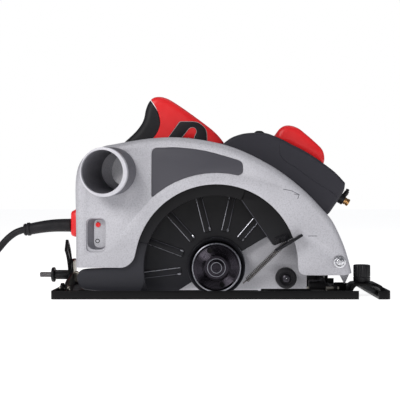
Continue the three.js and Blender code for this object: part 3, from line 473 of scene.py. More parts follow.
def cast_look(name, base):
    """Bead-blasted cast aluminium: pale and finely speckled."""
    look = Look(name, base, 0.5, 0.25, 0.4)
    shade = lambda share: tuple(min(1.0, c * share) for c in base[:3]) + (1,)
    look.mix(look.ramp(look.noise(0.8, 3), 0.45, 0.7, 0.0, 0.6), shade(0.66))
    look.mix(look.ramp(look.noise(0.045, 6), 0.4, 0.7, 0.0, 0.35), shade(0.82))
    look.mix(look.ramp(look.noise(1.7, 2), 0.56, 0.74, 0.0, 0.5), shade(1.32))
    look.rough(look.ramp(look.noise(0.3, 4), 0.3, 0.7, 0.42, 0.6))
    look.relief(look.noise(0.9, 4), 0.09, 0.55)
    look.relief(look.noise(3.0, 2), 0.03, 0.5)
    return look


def red_look():
    look = Look("red plastic", colour(252, 42, 46), 0.38, 0.0, 0.45)
    look.mix(look.ramp(look.noise(0.02, 5), 0.4, 0.75, 0.0, 0.35), colour(226, 30, 38))
    look.rough(look.ramp(look.noise(0.2, 5), 0.3, 0.7, 0.3, 0.46))
    look.relief(look.noise(1.6, 3), 0.018, 0.5)
    return look


def paint_look(name, base, roughness, specular=0.35):
    """Satin paint: a slightly uneven tone, finely grained, with small paler specks."""
    look = Look(name, base, roughness, 0.0, specular)
    look.mix(look.ramp(look.noise(0.02, 3), 0.35, 0.7, 0.0, 0.25),
             tuple(c * 1.3 + 0.0008 for c in base[:3]) + (1,))
    look.mix(look.ramp(look.noise(1.8, 2), 0.68, 0.8, 0.0, 0.2),
             tuple(c * 2.2 + 0.004 for c in base[:3]) + (1,))
    look.rough(look.ramp(look.noise(0.25, 5), 0.3, 0.7, roughness - 0.06, roughness + 0.08))
    look.relief(look.noise(1.2, 4), 0.015, 0.4)
    return look


def painted_light_fade_look(name, low_tone, high_tone, low, high):
    """Satin coating that is paler near the sole and darker higher up: painted light low down and painted
    shade higher up.
    """
    look = paint_look(name, low_tone, 0.38, 0.22)
    split = look.node("ShaderNodeSeparateXYZ")
    look.tree.links.new(look.place, split.inputs["Vector"])
    look.mix(look.ramp(split.outputs["Z"], low * MM, high * MM, 0.0, 1.0), high_tone)
    return look


LOOKS = {
    "cast_aluminium": cast_look("cast aluminium", colour(198, 197, 203)),
    # Darker aluminium: painted shade on the dust port tube, and the painted shade of the engraved lines on
    # the guard.
    "dull_aluminium": cast_look("dull aluminium", colour(110, 109, 116)),
    "black_paint": paint_look("black paint", colour(9, 8, 10), 0.4, 0.18),
    "zinc": metal("zinc", colour(186, 182, 172), 0.34, colour(120, 112, 98)),
    "dull_zinc": metal("dull zinc", colour(112, 110, 112), 0.38, colour(70, 68, 70)),
    "dark_steel": metal("dark steel", colour(88, 86, 92), 0.34, colour(40, 38, 42)),
    "bright_steel": metal("bright steel", colour(214, 214, 218), 0.24, colour(150, 150, 156)),
    # The guard coating fades from pale low down to dark higher up: painted light below, painted shade above.
    "guard_black": painted_light_fade_look("guard coating", colour(34, 34, 39), colour(12, 11, 14), 20, 80),
    "flange_face": metal("flange face", colour(50, 47, 53), 0.22, colour(14, 13, 16)),
    "rim_steel": metal("rim steel", colour(158, 158, 166), 0.3, colour(84, 84, 92)),
    # Painted highlights on the lower guard's rib, collar and chord edges: bright ones and fainter ones.
    "worn_edge": metal("worn edge", colour(176, 176, 184), 0.3, colour(120, 120, 126)),
    "dim_edge": metal("dim edge", colour(104, 104, 112), 0.34, colour(70, 70, 76)),
    # A near-white aluminium: painted light on the back of the dust port's bore.
    "pale_cast": cast_look("painted light aluminium", colour(250, 249, 252)),
    # A darker aluminium: painted shade inside the port's bore and the adjuster pocket's well.
    "recess_shade": cast_look("recess_shade", colour(128, 127, 134)),
    "dark_plastic": plastic("dark plastic", colour(52, 51, 58), 0.55, 0.05, 0.25),
    "black_plastic": plastic("black plastic", colour(16, 15, 19), 0.42, 0.03, 0.3),
    "red_plastic": red_look(),
    "rubber": plastic("rubber", colour(28, 27, 31), 0.55, 0.05, 0.3),
    "badge_grey": plastic("badge", colour(73, 72, 79), 0.42, 0.012, 0.4, 0.05),
    "brass": metal("brass", colour(206, 162, 108), 0.28, colour(150, 104, 58)),
    "copper": metal("copper", colour(184, 112, 74), 0.35, colour(120, 66, 40)),
    "laminated": metal("laminated sheet", colour(120, 118, 122), 0.45, colour(66, 62, 62),
                       streaks=(0.2, 12, 0.2)),
    "machined": metal("machined aluminium", colour(212, 211, 217), 0.42, colour(168, 167, 174),
                      relief=0.006, metallic=0.35),
    "spring": metal("spring wire", colour(120, 116, 112), 0.3, colour(58, 54, 48)),
    # The foot's paler tone is painted light on its lit lower part, fading into painted shade higher up.
    "foot": painted_light_fade_look("guard foot", colour(54, 54, 60), colour(16, 15, 18), 24, 62),
    # A pale band: painted highlight along the edges of the handle inlays.
    "inlay_highlight_look": plastic("pale edging", colour(196, 190, 190), 0.45, 0.01, 0.4),
}


def piece_name(words):
    return "made_" + words.replace(" ", "_")


def piece(obj, body, node, slot, look=None, angle=32):
    """Finishes a piece: its look, its smooth shading, its body, and the CAD node that it stands for."""
    obj.name = piece_name(obj.name)
    obj.data.materials.clear()
    obj.data.materials.append(LOOKS[look or slot].material)
    obj.data.shade_smooth()
    obj.data.set_sharp_from_angle(angle=math.radians(angle))
    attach(obj, body)
    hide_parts(node)
    return obj


def guard_piece(obj, look=None, angle=32):
    """A piece of the cast upper guard."""
    return piece(obj, "saw_body", "upper_guard", "cast_aluminium", look, angle)


# ---------------------------------------------------------------- cord
# It falls from the boot to the surface the saw stands on, and the rest of its length lies in a coil.
CORD_EXIT = (-201.6, CORD_Y, 59.95)
CORD_ROUTE = [
    (-203.8, 35, 59.6), (-211, 34.9, 56.6), (-219, 34.2, 50.2), (-227, 32.4, 40.6),
    (-235, 29.2, 29.6), (-243, 24.2, 18.8), (-251, 17.4, 10), (-259, 9.4, 5.2),
    (-267, 2, 3.8), (-275, -4, 3.7), (-283, -7.4, 3.7), (-290.6, -8.6, 3.7)]
CORD_LENGTH = 2000.0
COIL_AT = (-318.0, 38.0)
COIL_RADII = (45.7, 38.5, 31.3)
COIL_HEIGHTS = (3.9, 11.1, 18.0)
COIL_STEP = 7.5


def coil_line():
    """Turns that wind inwards, step up and wind outwards again, layer by layer."""
    start = math.degrees(math.atan2(CORD_ROUTE[-1][1] - COIL_AT[1], CORD_ROUTE[-1][0] - COIL_AT[0]))
    stops = []
    for layer, height in enumerate(COIL_HEIGHTS):
        radii = COIL_RADII if layer % 2 == 0 else COIL_RADII[::-1]
        stops += [(radius, height) for radius in radii]
    line = []
    length = sum((Vector(b) - Vector(a)).length for a, b in zip(CORD_ROUTE, CORD_ROUTE[1:]))
    length += (Vector(CORD_ROUTE[0]) - Vector(CORD_EXIT)).length
    turn = 0.0
    while length < CORD_LENGTH:
        turn += COIL_STEP
        whole = turn / 360
        this = min(int(whole), len(stops) - 1)
        following = min(this + 1, len(stops) - 1)
        share = max(0.0, (whole - int(whole)) * 5 - 4)
        share = share * share * (3 - 2 * share)
        radius = stops[this][0] * (1 - share) + stops[following][0] * share
        height = stops[this][1] * (1 - share) + stops[following][1] * share
        u, v = polar(COIL_AT, radius, start - turn)
        point = (u, v, height)
        length += (Vector(point) - Vector(line[-1] if line else CORD_ROUTE[-1])).length
        line.append(point)
    return line


def power_cord():
    line = [CORD_EXIT, *smooth_line(CORD_ROUTE, 4), *coil_line()]
    curve = bpy.data.curves.new("power cord", "CURVE")
    curve.dimensions = "3D"
    spline = curve.splines.new("POLY")
    spline.points.add(len(line) - 1)
    for place, point in zip(spline.points, line):
        place.co = (*(Vector(point) * MM), 1)
    curve.bevel_depth = CORD_R * MM
    curve.bevel_resolution = 4
    curve.use_fill_caps = True
    curve.materials.append(LOOKS["rubber"].material)
    cord = bpy.data.objects.new(piece_name("power cord"), curve)
    bpy.context.scene.collection.objects.link(cord)
    for spline in curve.splines:
        spline.use_smooth = True
    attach(cord, "saw_body")
    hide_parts("power_cord", "cord_coil")
    return cord


def plug():
    """A flat two-pin plug lying on the coil, its pins along +Y."""
    x, y, z, thick = COIL_AT[0] - 38, COIL_AT[1] - 26, 21.9, 20
    shape = outline([(x - 7, y, 5), (x + 7, y, 5), (x + 18, y + 22, 9), (x + 18, y + 44, 5),
                     (x - 18, y + 44, 5), (x - 18, y + 22, 9)])
    shell = prism("plug", [shape], z, z + thick, "Z", edge=3.4, steps=4)
    for low, high in ((z - 1, z + 0.8), (z + thick - 0.8, z + thick + 1)):
        cut(shell, prism("groove", [rectangle(x - 20, x + 20, y + 36, y + 37.2)], low, high, "Z", edge=0))
    pins = [turned("pin", [(0, 0), (2.4, 0), (2.4, 18.2, 1.2), (0, 18.4)],
                   (x + side, y + 43.8, z + 10), (0, 1, 0), 20) for side in (-9.5, 9.5)]
    piece(shell, "saw_body", "cord_plug", "rubber")
    metal_pins = piece(combine(*pins), "saw_body", "cord_plug", "rubber", "bright_steel")
    return [shell, metal_pins]


def cord_tie():
    """A strap round the coil's turns, with its buckle on top."""
    near = COIL_AT[0] + COIL_RADII[-1] - CORD_R
    far = COIL_AT[0] + COIL_RADII[0] + CORD_R
    top = COIL_HEIGHTS[-1] + CORD_R
    middle = COIL_AT[1]
    strap = prism("cord tie", [rectangle(near - 1.2, far + 1.2, 0.1, top + 1.3, 4),
                               rectangle(near - 0.1, far + 0.1, 0.9, top + 0.1, 3)], middle - 4,
                  middle + 4, edge=0.35)
    buckle = prism("buckle", [rectangle(far - 12, far - 4, middle - 4.8, middle + 4.8, 1.5)],
                   top + 1, top + 3.2, "Z", edge=0.7)
    return piece(combine(strap, buckle), "saw_body", "cord_coil", "rubber", "black_plastic")


cord = power_cord()
plug_pieces = [*plug(), cord_tie()]


# ---------------------------------------------------------------- upper guard
CROWN = smooth_line([
    (-133.6, 27.6), (-133.6, 43), (-133.6, 59), (-133.9, 80), (-134.2, 101), (-133, 115), (-129.5, 125),
    (-122, 133), (-108, 139.4), (-99, 141.2), (-85, 143.8), (-71, 146), (-58, 147.3), (-45, 147.8),
    (-32, 147.2), (-19, 145.6), (-8, 143.6), (4, 140.8), (16, 136.7), (27.5, 131.7), (39, 125.8),
    (50.7, 119), (62.5, 110.7), (74, 101.4), (82.5, 93.5), (90.5, 85), (100.5, 74), (105, 67),
    (109, 59), (112.5, 51), (115.5, 43), (118.5, 33), (121, 22.5)], 4)
CAST = 3.0
SHOULDER = 6.5
PORT_BASE = Vector((-99.7, -55, 116))
PORT_RIM = Vector((-104.4, -80, 114.3))
PORT_BORE = 19.6
PORT_R = 22.0
PORT_ALONG = (PORT_RIM - PORT_BASE).normalized()
POCKET_MOUTH = (-124.3, -105.2, 41.2, 73.6)


def shoulder_stations():
    """(inset from the crown, Y) outside from the near face to the back edge, and the same inside."""
    outside = []
    inside = []
    for k in range(7):
        angle = math.radians(15 * k)
        outside.append((SHOULDER * (1 - math.sin(angle)), NEAR_FACE + SHOULDER * (1 - math.cos(angle))))
        small = SHOULDER - CAST
        inside.append((CAST + small * (1 - math.sin(angle)),
                       NEAR_FACE + CAST + small * (1 - math.cos(angle))))
    outside += [(0.0, BACK_EDGE - 0.5), (0.5, BACK_EDGE)]
    inside += [(CAST, BACK_EDGE), (CAST, BACK_EDGE)]
    return outside, inside


def near_edge():
    """The near wall's lower edge, from the front leg round the window to the rear leg."""
    front = (CROWN[-1][0] - SHOULDER, CROWN[-1][1])
    rear = (CROWN[0][0] + SHOULDER, CROWN[0][1])
    window = arc((-4, 29), 75.2, 6, 168, 40)
    points = outline([front, (114, 20.6), (71.4, 20.6, 10), *window, (-80, 34, 6), (-87.5, 27.6, 7), rear])
    return points[1:-1]


def crown_shell():
    outside, inside = shoulder_stations()
    sets = [[[(x, y, z) for x, z in offset_line(CROWN, -inset)] for inset, y in stations]
            for stations in (outside, inside)]
    count = len(CROWN)
    depth = len(outside)
    points = []
    for rows in sets:
        for i in range(count):
            points += [rows[j][i] for j in range(depth)]

    def at(side, i, j):
        return side * count * depth + i * depth + j
    edge = near_edge()
    first_edge = len(points)
    points += [(x, NEAR_FACE, z) for x, z in edge]
    points += [(x, NEAR_FACE + CAST, z) for x, z in edge]
    faces = []
    for side in (0, 1):
        for i in range(count - 1):
            for j in range(depth - 1):
                faces.append((at(side, i, j), at(side, i + 1, j), at(side, i + 1, j + 1), at(side, i, j + 1)))
        lip = list(range(first_edge + side * len(edge), first_edge + (side + 1) * len(edge)))
        faces.append([at(side, i, 0) for i in range(count)] + lip)
    for i in range(count - 1):
        faces.append((at(0, i, depth - 1), at(0, i + 1, depth - 1), at(1, i + 1, depth - 1),
                      at(1, i, depth - 1)))
    for i in (0, count - 1):
        faces.append([at(0, i, j) for j in range(depth)] + [at(1, i, j) for j in reversed(range(depth))])
    front = [at(0, count - 1, 0), *range(first_edge, first_edge + len(edge)), at(0, 0, 0)]
    back = [at(1, count - 1, 0), *range(first_edge + len(edge), first_edge + 2 * len(edge)), at(1, 0, 0)]
    for k in range(len(front) - 1):
        faces.append((front[k], front[k + 1], back[k + 1], back[k]))
    return solid("upper guard", points, faces)


def upper_guard():
    shell = crown_shell()
    port_hole = rod("hole", PORT_BASE - PORT_ALONG * 12, PORT_RIM + PORT_ALONG * 3, PORT_R - 0.6, 56)
    pocket_hole = prism("hole", [rectangle(*POCKET_MOUTH, 6)], NEAR_FACE - 2, NEAR_FACE + 8, edge=0)
    pivot_hole = rod_along_y("hole", DEPTH_PIVOT, -60, -50, PIVOT_HOLE_R)
    badge_hole = prism("hole", [badge_outline(0.35)], NEAR_FACE - 1, NEAR_FACE + 0.9, edge=0)
    # Thin dark strips just proud of the face: painted shade for the engraved arrow and line.
    marks = [prism("engraving shade", [capsule(a, b, 0.3, 4)], NEAR_FACE - 0.06, NEAR_FACE + 0.6, edge=0)
             for a, b in (((57.5, 99.6), (65, 98.2)), ((65, 98.2), (72, 94.6)),
                          ((72, 94.6), (67.4, 95.2)), ((72, 94.6), (70.6, 90.8)),
                          ((80.5, 56.7), (88.3, 56.7)))]
    cut(shell, port_hole, pocket_hole, pivot_hole, badge_hole)
    bevel(shell, 0.55, 2, 50)
    pointer = prism("pointer", [outline([(110.7, 21.4), (121, 21.4), (116.3, 10.8, 0.6)])], -38,
                    -35.5, edge=0.4)
    arm = prism("pointer arm", [rectangle(112.5, 120.4, 20.8, 23.4)], -38, -20.6, edge=0.4)
    combine(shell, pointer, arm)
    guard_piece(shell, angle=40)
    guard_piece(combine(*marks), "dull_aluminium")
    dust_port()
    adjuster_pocket()


def dust_port():
    """A tube with a machined end, an off-centre bore and a disc at the back of the bore where it bends away.
    The tube is painted darker as painted shade, the sleeve in the bore is painted shade inside it, and the
    near-white disc is painted light.
    """
    length = (PORT_RIM - PORT_BASE).length
    tube = turned("dust port", [(PORT_R - 1, -3), (PORT_R, -3), (PORT_R, length - 0.4),
                                (PORT_R - 1, length - 0.4)], PORT_BASE, PORT_ALONG, 96)
    # The tube is painted darker than the casting: painted shade on its side away from the light.
    guard_piece(tube, "dull_aluminium")
    aside = Vector((-1.3, 0, 0.3))
    rim = turned("port rim", [(0, length - 4), (PORT_R + 0.15, length - 4), (PORT_R + 0.15, length, 0.5),
                              (0, length)], PORT_BASE, PORT_ALONG, 96)
    cut(rim, rod("bore", PORT_BASE + aside, PORT_RIM + aside + (PORT_RIM - PORT_BASE), PORT_BORE, 96))
    guard_piece(rim, "machined")
    # A darker sleeve in the bore: painted shade inside the tube.
    bore_shade = turned("port bore shade", [(PORT_BORE - 0.05, -36), (PORT_BORE + 0.7, -36),
                                  (PORT_BORE + 0.7, length - 3.5), (PORT_BORE - 0.05, length - 3.5)],
                   PORT_BASE + aside, PORT_ALONG, 96)
    guard_piece(bore_shade, "recess_shade")
    # A near-white disc turned towards the light: painted light at the back of the bore.
    back = turned("port back", [(0, 0), (17, 0, 0.5), (17, 1.2), (0, 1.2)], (-87, -41, 119.6),
                  (-0.55, -1, 0.3), 64)
    guard_piece(back, "pale_cast")


def loft(name, stations):
    """A pocket's skin over outlines at different depths, all of the same number of points."""
    return skin(name, [[(x, y, z) for x, z in shape] for y, shape in stations], caps=False)


def adjuster_pocket():
    """A moulded pocket with a sloping left wall, a ledge below, a red adjuster on its floor, and a black disc
    there as painted shade for a hole.
    """
    u0, u1, v0, v1 = POCKET_MOUTH

    def shape(left, right, low, high, corner, foot):
        return outline([(left, low, foot), (right, low, corner), (right, high, corner),
                        (left, high, corner)], 6)
    mouth = shape(u0, u1, v0, v1, 6, 6)
    ledge = shape(u0 + 0.4, u1 - 0.4, v0 + 0.4, v1 - 0.4, 6, 6)
    well = shape(u0 + 1.2, u1 - 0.5, v0 + 2.6, v1 - 0.6, 6, 10)
    floor = shape(u0 + 6.5, u1 - 0.9, v0 + 4, v1 - 1.4, 5, 9)
    rows = [(NEAR_FACE + 0.1, mouth), (NEAR_FACE + 2.6, ledge), (NEAR_FACE + 3.4, well)]
    outer = loft("adjuster pocket", rows)
    well_skin = loft("pocket well", [(NEAR_FACE + 3.4, well), (NEAR_FACE + 9, floor)])
    bottom = prism("pocket floor", [floor], NEAR_FACE + 8.6, NEAR_FACE + 10.4, edge=0)
    for part in (outer, well_skin):
        thick = part.modifiers.new("wall", "SOLIDIFY")
        thick.thickness = 1.2 * MM
        thick.offset = 0.0
        apply(part)
        tidy(part.data)
    guard_piece(combine(outer, bottom), angle=50)
    # The well's walls are painted darker: painted shade in the recess.
    guard_piece(well_skin, "recess_shade", angle=50)
    at_floor = NEAR_FACE + 8.7
    dot = turned("adjuster", [(0, 0), (2.3, 0), (2.3, 1.4, 0.5), (1.1, 1.5, 0.2), (1.0, 0.9), (0, 0.9)],
                 (-113.6, at_floor, 66.9), (0, -1, 0), 32)
    guard_piece(dot, "red_plastic")
    # A black disc: painted shade for the hole beside the red adjuster.
    hole = turned("adjuster hole", [(0, 0), (2.1, 0), (2.1, 0.3, 0.2), (1.5, 0.2), (0, -0.6)],
                  (-114.2, at_floor, 51.8), (0, -1, 0), 32)
    guard_piece(hole, "black_plastic")


def badge_outline(grow=0.0):
    below = [polar(SPINDLE, 87.8 - grow, 76.5 + 6.5 * i) for i in range(9)]
    above = smooth_line([(-52, 137.6 + grow), (-38.7, 137.8 + grow), (-13.9, 134.6 + grow),
                         (13, 127.2 + grow)], 3)
    return outline([(-63.4 - grow, 91.4 - grow, 4), (-63.2 - grow, 137.4 + grow, 6), *above,
                    (20.2 + grow, 124.6 + grow, 5), (20.4 + grow, 114.6 - grow, 5), *below][::-1])


def guard_badge():
    plate = prism("guard badge", [badge_outline()], NEAR_FACE - 0.02, NEAR_FACE + 0.6, edge=0.25)
    piece(plate, "saw_body", "guard_badge", "badge_grey")


def pivot_bolt():
    x, z = DEPTH_PIVOT
    washer = turned("depth pivot washer", [(0, 0), (5.8, 0), (5.8, 0.9, 0.3), (0, 0.9)], (x, -56.3, z),
                    (0, -1, 0), 36)
    head = turned("depth pivot head", [(0, 0), (4.4, 0), (4.3, 1.2, 0.8), (3.1, 2.9, 1.2), (0, 3.1)],
                  (x, -57.1, z), (0, -1, 0), 36)
    for turn in (20, 110):
        slot = prism("slot", [capsule(polar((x, z), -2.2, turn), polar((x, z), 2.2, turn), 0.5, 3)],
                     -62, -58.6, edge=0)
        cut(head, slot)
    shank = rod_along_y("shank", DEPTH_PIVOT, -57, -10, 3.95)
    nut = prism("nut", [circle(DEPTH_PIVOT, 6, 6)], -12.9, -8.5, edge=0.5)
    piece(combine(washer, head, shank, nut), "saw_body", "depth_pivot_bolt", "bright_steel")


# ---------------------------------------------------------------- gear case
LOCK_HOLE = (-65.76, 42.16)
COVER_Y = 9.4


def gear_case():
    shape = outline([*CROWN, (121, 20.6, 2), (82.6, 21.4, 2), (82.6, 3.6, 2), (-72, 3.6, 4), (-92, 27.6, 8)])
    gap = rectangle(-126.4, -102, 37.1, 76.4, 6)
    wall = prism("gear case", [shape, gap], -20, -17, edge=0.5)
    cut(wall, rod_along_y("hole", LOCK_HOLE, -22, -15, 3.3),
        rod_along_y("hole", DEPTH_PIVOT, -22, -15, PIVOT_HOLE_R))
    x, z = SPINDLE
    boss = turned("boss", [(6.4, -12), (6.4, -23), (11.3, -23.4), (11.3, -30, 0.3), (17, -30, 1.2), (17, -17),
                           (17, -12)], (x, 0, z), (0, 1, 0), 64)
    chamber = turned("chamber", [(6.4, -16.8), (23.3, -16.8), (23.3, 9, 0.6), (20.4, 9), (20.4, -13.5),
                                 (6.4, -13.5)], (x, 0, z), (0, 1, 0), 64)
    pinion = turned("pinion house", [(8, -16.8), (10.9, -16.8), (10.9, 9, 0.6), (8, 9)],
                    at_y(MOTOR, 0), (0, 1, 0), 40)
    webs = [prism("web", [[polar(SPINDLE, 22, a - 4), polar(SPINDLE, 22, a + 4),
                           polar(SPINDLE, 52, a + 0.6), polar(SPINDLE, 52, a - 0.6)]], -17.2, -11.5,
                  edge=0.4) for a in (120, 150, 180, 330)]
    lock = turned("lock house", [(3.6, 0), (6.5, 0), (6.5, 13, 0.8), (3.6, 13)], (21, 2, z), (1, 0, 0), 32)
    piece(combine(wall, boss, chamber, pinion, lock, *webs), "saw_body", "gear_case", "cast_aluminium")


def gear_cover():
    plates = [turned("gear cover", [(5.4, 0), (23.3, 0, 0.4), (23.3, 2.8, 0.6), (5.4, 2.8)],
                     at_y(SPINDLE, COVER_Y), (0, 1, 0), 64),
              turned("cover plate", [(6.2, 0), (40, 0, 0.4), (40, 2.6, 0.6), (6.2, 2.6)],
                     at_y(MOTOR, COVER_Y), (0, 1, 0), 72)]
    piece(combine(*plates), "saw_body", "gear_cover", "cast_aluminium")


def guard_bumper():
    x, z = 62.2, 15.6
    at = (x, -20.3, z)
    cushion = turned("guard bumper", [(2.4, 0), (10, 0, 0.3), (9.9, 9.5, 0.4), (9.4, 12.6, 1.6),
                                      (6.6, 12.7, 0.8), (5.6, 10.6, 0.5), (2.4, 10.6)], at,
                     (0, -1, 0), 56)
    piece(cushion, "saw_body", "guard_bumper", "rubber")
    screw = turned("bumper screw", [(0, 8.6), (4.4, 8.6), (4.4, 11, 0.8), (2.6, 12.2, 0.8), (0, 12.3)],
                   at, (0, -1, 0), 32)
    star = [polar((x, z), 2.4 if i % 2 else 1.2, 45 * i) for i in range(8)]
    cut(screw, prism("slot", [outline([(*point, 0.3) for point in star], 3)], -40, -31.6, edge=0))
    piece(screw, "saw_body", "guard_bumper", "rubber", "dark_steel")
    ring = turned("bumper ring", [(6.4, 10.5), (7.4, 10.5, 0.3), (7.4, 13.0, 0.4), (6.4, 13.0, 0.3)], at,
                  (0, -1, 0), 56)
    piece(ring, "saw_body", "guard_bumper", "rubber")
    point = turned("bumper point", [(0, 0), (1.0, 0), (0.7, 0.8, 0.3), (0, 0.9)], (x, -31, z), (0, -1, 0), 16)
    piece(point, "saw_body", "guard_bumper", "rubber", "bright_steel")


# ---------------------------------------------------------------- spring
def return_spring():
    """A fine coil from the case to the guard's hub. The real spring is drawn out as the guard swings; this
    one is a fixed shape.
    """
    start, end = Vector((63, -31, 51.2)), Vector((21.2, -31, 10.8))
    along = (end - start).normalized()
    side, up = directions(along)
    turns = 32
    points = []
    for k in range(turns * 12 + 1):
        t = k / (turns * 12)
        angle = 2 * math.pi * turns * t
        centre = start.lerp(end, 0.04 + 0.88 * t)
        points.append(centre + (side * math.cos(angle) + up * math.sin(angle)) * 2.2)
    coil = sweep("return spring", points, 0.42, 6)
    hooks = [sweep("hook", [start, start.lerp(end, 0.05)], 0.45, 8),
             sweep("hook", [start.lerp(end, 0.9), end], 0.6, 8)]
    spring = combine(coil, *hooks)
    spring.data.materials.append(LOOKS["spring"].material)
    spring.data.shade_smooth()
    spring.name = piece_name(spring.name)
    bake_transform(spring)
    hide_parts("return_spring")


# ---------------------------------------------------------------- lower guard
# Angles in degrees about the spindle. The wide near wall starts at PART_JOIN; ahead of it lies the chord.
GUARD_LEAD = 212.5
GUARD_TRAIL = 30.5
PART_JOIN = 69
GUARD_R = 98.6
GUARD_INNER_R = 96.4
HUB_R = 17.5
CHORD_R = 66.8
GUARD_NEAR, GUARD_FAR = -51, -25
GUARD_NEAR_IN, GUARD_FAR_IN = -49, -27
FLOOR_CUT = 0.7
SWAP_YZ = Matrix(((1, 0, 0, 0), (0, 0, 1, 0), (0, 1, 0, 0), (0, 0, 0, 1)))


def revolved(name, section, first, last, count):
    """Part of a ring about the spindle from a closed section of (radius, y, corner radius)."""
    edge = outline(section, 4)
    rings = []
    for i in range(count + 1):
        angle = math.radians(first + (last - first) * i / count)
        rings.append([(SPINDLE[0] + r * math.cos(angle), y, SPINDLE[1] + r * math.sin(angle))
                      for r, y in edge])
    return skin(name, rings)


def lower_guard():
    """An open drum about the spindle, with ribs on its far wall and a foot at its leading edge."""
    full = [(HUB_R, GUARD_FAR_IN), (HUB_R, GUARD_FAR), (GUARD_R, GUARD_FAR, 2.4),
            (GUARD_R, GUARD_NEAR, 2.6), (CHORD_R, GUARD_NEAR, 0.8), (CHORD_R, GUARD_NEAR_IN, 0.5),
            (GUARD_INNER_R, GUARD_NEAR_IN, 1), (GUARD_INNER_R, GUARD_FAR_IN, 1)]
    bare = [(HUB_R, GUARD_FAR_IN), (HUB_R, GUARD_FAR), (GUARD_R, GUARD_FAR, 2.4), (GUARD_R, GUARD_NEAR, 2.6),
            (GUARD_INNER_R, GUARD_NEAR_IN, 0.3), (GUARD_INNER_R, GUARD_FAR_IN, 1)]
    rim = [(GUARD_INNER_R, GUARD_FAR), (GUARD_R, GUARD_FAR, 0.6), (GUARD_R, GUARD_NEAR, 2.6),
           (GUARD_INNER_R, GUARD_NEAR_IN, 0.3)]
    drum = revolved("lower guard", full, PART_JOIN, GUARD_LEAD, 96)
    front = revolved("front part", bare, GUARD_TRAIL, PART_JOIN, 28)
    lip = revolved("lip", rim, 20, GUARD_TRAIL, 8)
    inner = arc(SPINDLE, 97.2, 21.5, 70, 20)
    chord = prism("front flange", [outline([*inner, (*polar(SPINDLE, CHORD_R, 70.6), 1),
                                            (*polar(SPINDLE, 56, 23), 3), (*polar(SPINDLE, 57.5, 21), 2)],
                                           4)], GUARD_NEAR, GUARD_NEAR_IN, edge=0.5)
    collar = turned("collar", [(HUB_R, GUARD_FAR_IN), (24.6, GUARD_FAR_IN, 0.8), (24.6, -33, 0.6),
                               (27.4, -34, 1.2), (27.8, GUARD_FAR), (HUB_R, GUARD_FAR)],
                    at_y(SPINDLE, 0), (0, 1, 0), 72)
    parts = [front, lip, chord, collar]
    # The lines are painted highlights along the ribs, the collar and the chord: bright on one side, fainter
    # on the other.
    lines = {"worn_edge": [], "dim_edge": []}
    for i in range(6):
        angle = 49.5 + 27.5 * i
        along = Vector(polar((0, 0), 1, angle))
        across = Vector(polar((0, 0), 1, angle + 90))
        far = (94.5, 92, 90, 90, 92, 92)[i]

        def at(distance, aside):
            return tuple(Vector(SPINDLE) + along * distance + across * aside)
        parts.append(prism("rib", [outline([(*at(33.5, -3.1), 2), (*at(far, -2.9), 1), (*at(far, 2.9), 1),
                                            (*at(33.5, 3.1), 2)])], -28.6, -26.8, edge=0.7, steps=3))
        bright = 1 if i != 5 else -1
        for aside in (-1, 1):
            look = "worn_edge" if aside == bright else "dim_edge"
            lines[look].append(sweep("line", [(*at(34.6, aside * 2.95), -28.5),
                                              (*at(far - 1, aside * 2.75), -28.5)],
                                     0.33 if aside == bright else 0.26, 8))
        lines["worn_edge"].append(sweep("tip", [(*at(34.4, -bright * 2.7), -28.2),
                                                (*at(36.2, -bright * 2.7), -28.6),
                                                (*at(37.6, -bright * 2.6), -28.4)], [0.7, 1.05, 0.6], 10))
    for first, last, look in ((-42, 40, "worn_edge"), (40, 100, "dim_edge")):
        edge = [(*point, -33.2) for point in arc(SPINDLE, 27.3, first, last, 24)]
        lines[look].append(sweep("collar edge", edge, 0.3, 8))
    lines["dim_edge"].append(sweep("chord edge", [(*polar(SPINDLE, 66.9, 69.4), -50.9),
                                                  (*polar(SPINDLE, 56.2, 24), -50.9)], 0.26, 8))
    for look, rods in lines.items():
        for line in rods:
            line.data.transform(SWAP_YZ)
            tidy(line.data)
        marks = combine(*rods)
        marks.name = look.replace("_", " ") + " lines"
        clip(marks, (0, 0, FLOOR_CUT), (0, 0, -1))
        piece(marks, "guard", "lower_guard", "guard_black", look)
    whole = combine(drum, *parts)
    clip(whole, (0, 0, FLOOR_CUT), (0, 0, -1))
    piece(whole, "guard", "lower_guard", "guard_black", angle=30)
    x, z = SPINDLE
    inner = arc(SPINDLE, 66.9, 160, 191, 10)
    foot = prism("guard foot", [outline([(x - 129.6, z - 9.6, 6), (x - 126, z - 1.6, 6),
                                         (x - 118, z - 0.4, 4), (x - 93, z + 0.5), (x - 95, z + 12),
                                         (x - 91, z + 28, 3), *inner, (x - 71, z - 23.4, 1),
                                         (x - 106, z - 21.8, 6), (x - 125, z - 19.6, 9)], 8)], -51.6,
                 -47.4, edge=1.3, steps=4)
    clip(foot, (0, 0, FLOOR_CUT), (0, 0, -1))
    piece(foot, "guard", "lower_guard", "guard_black", "foot")


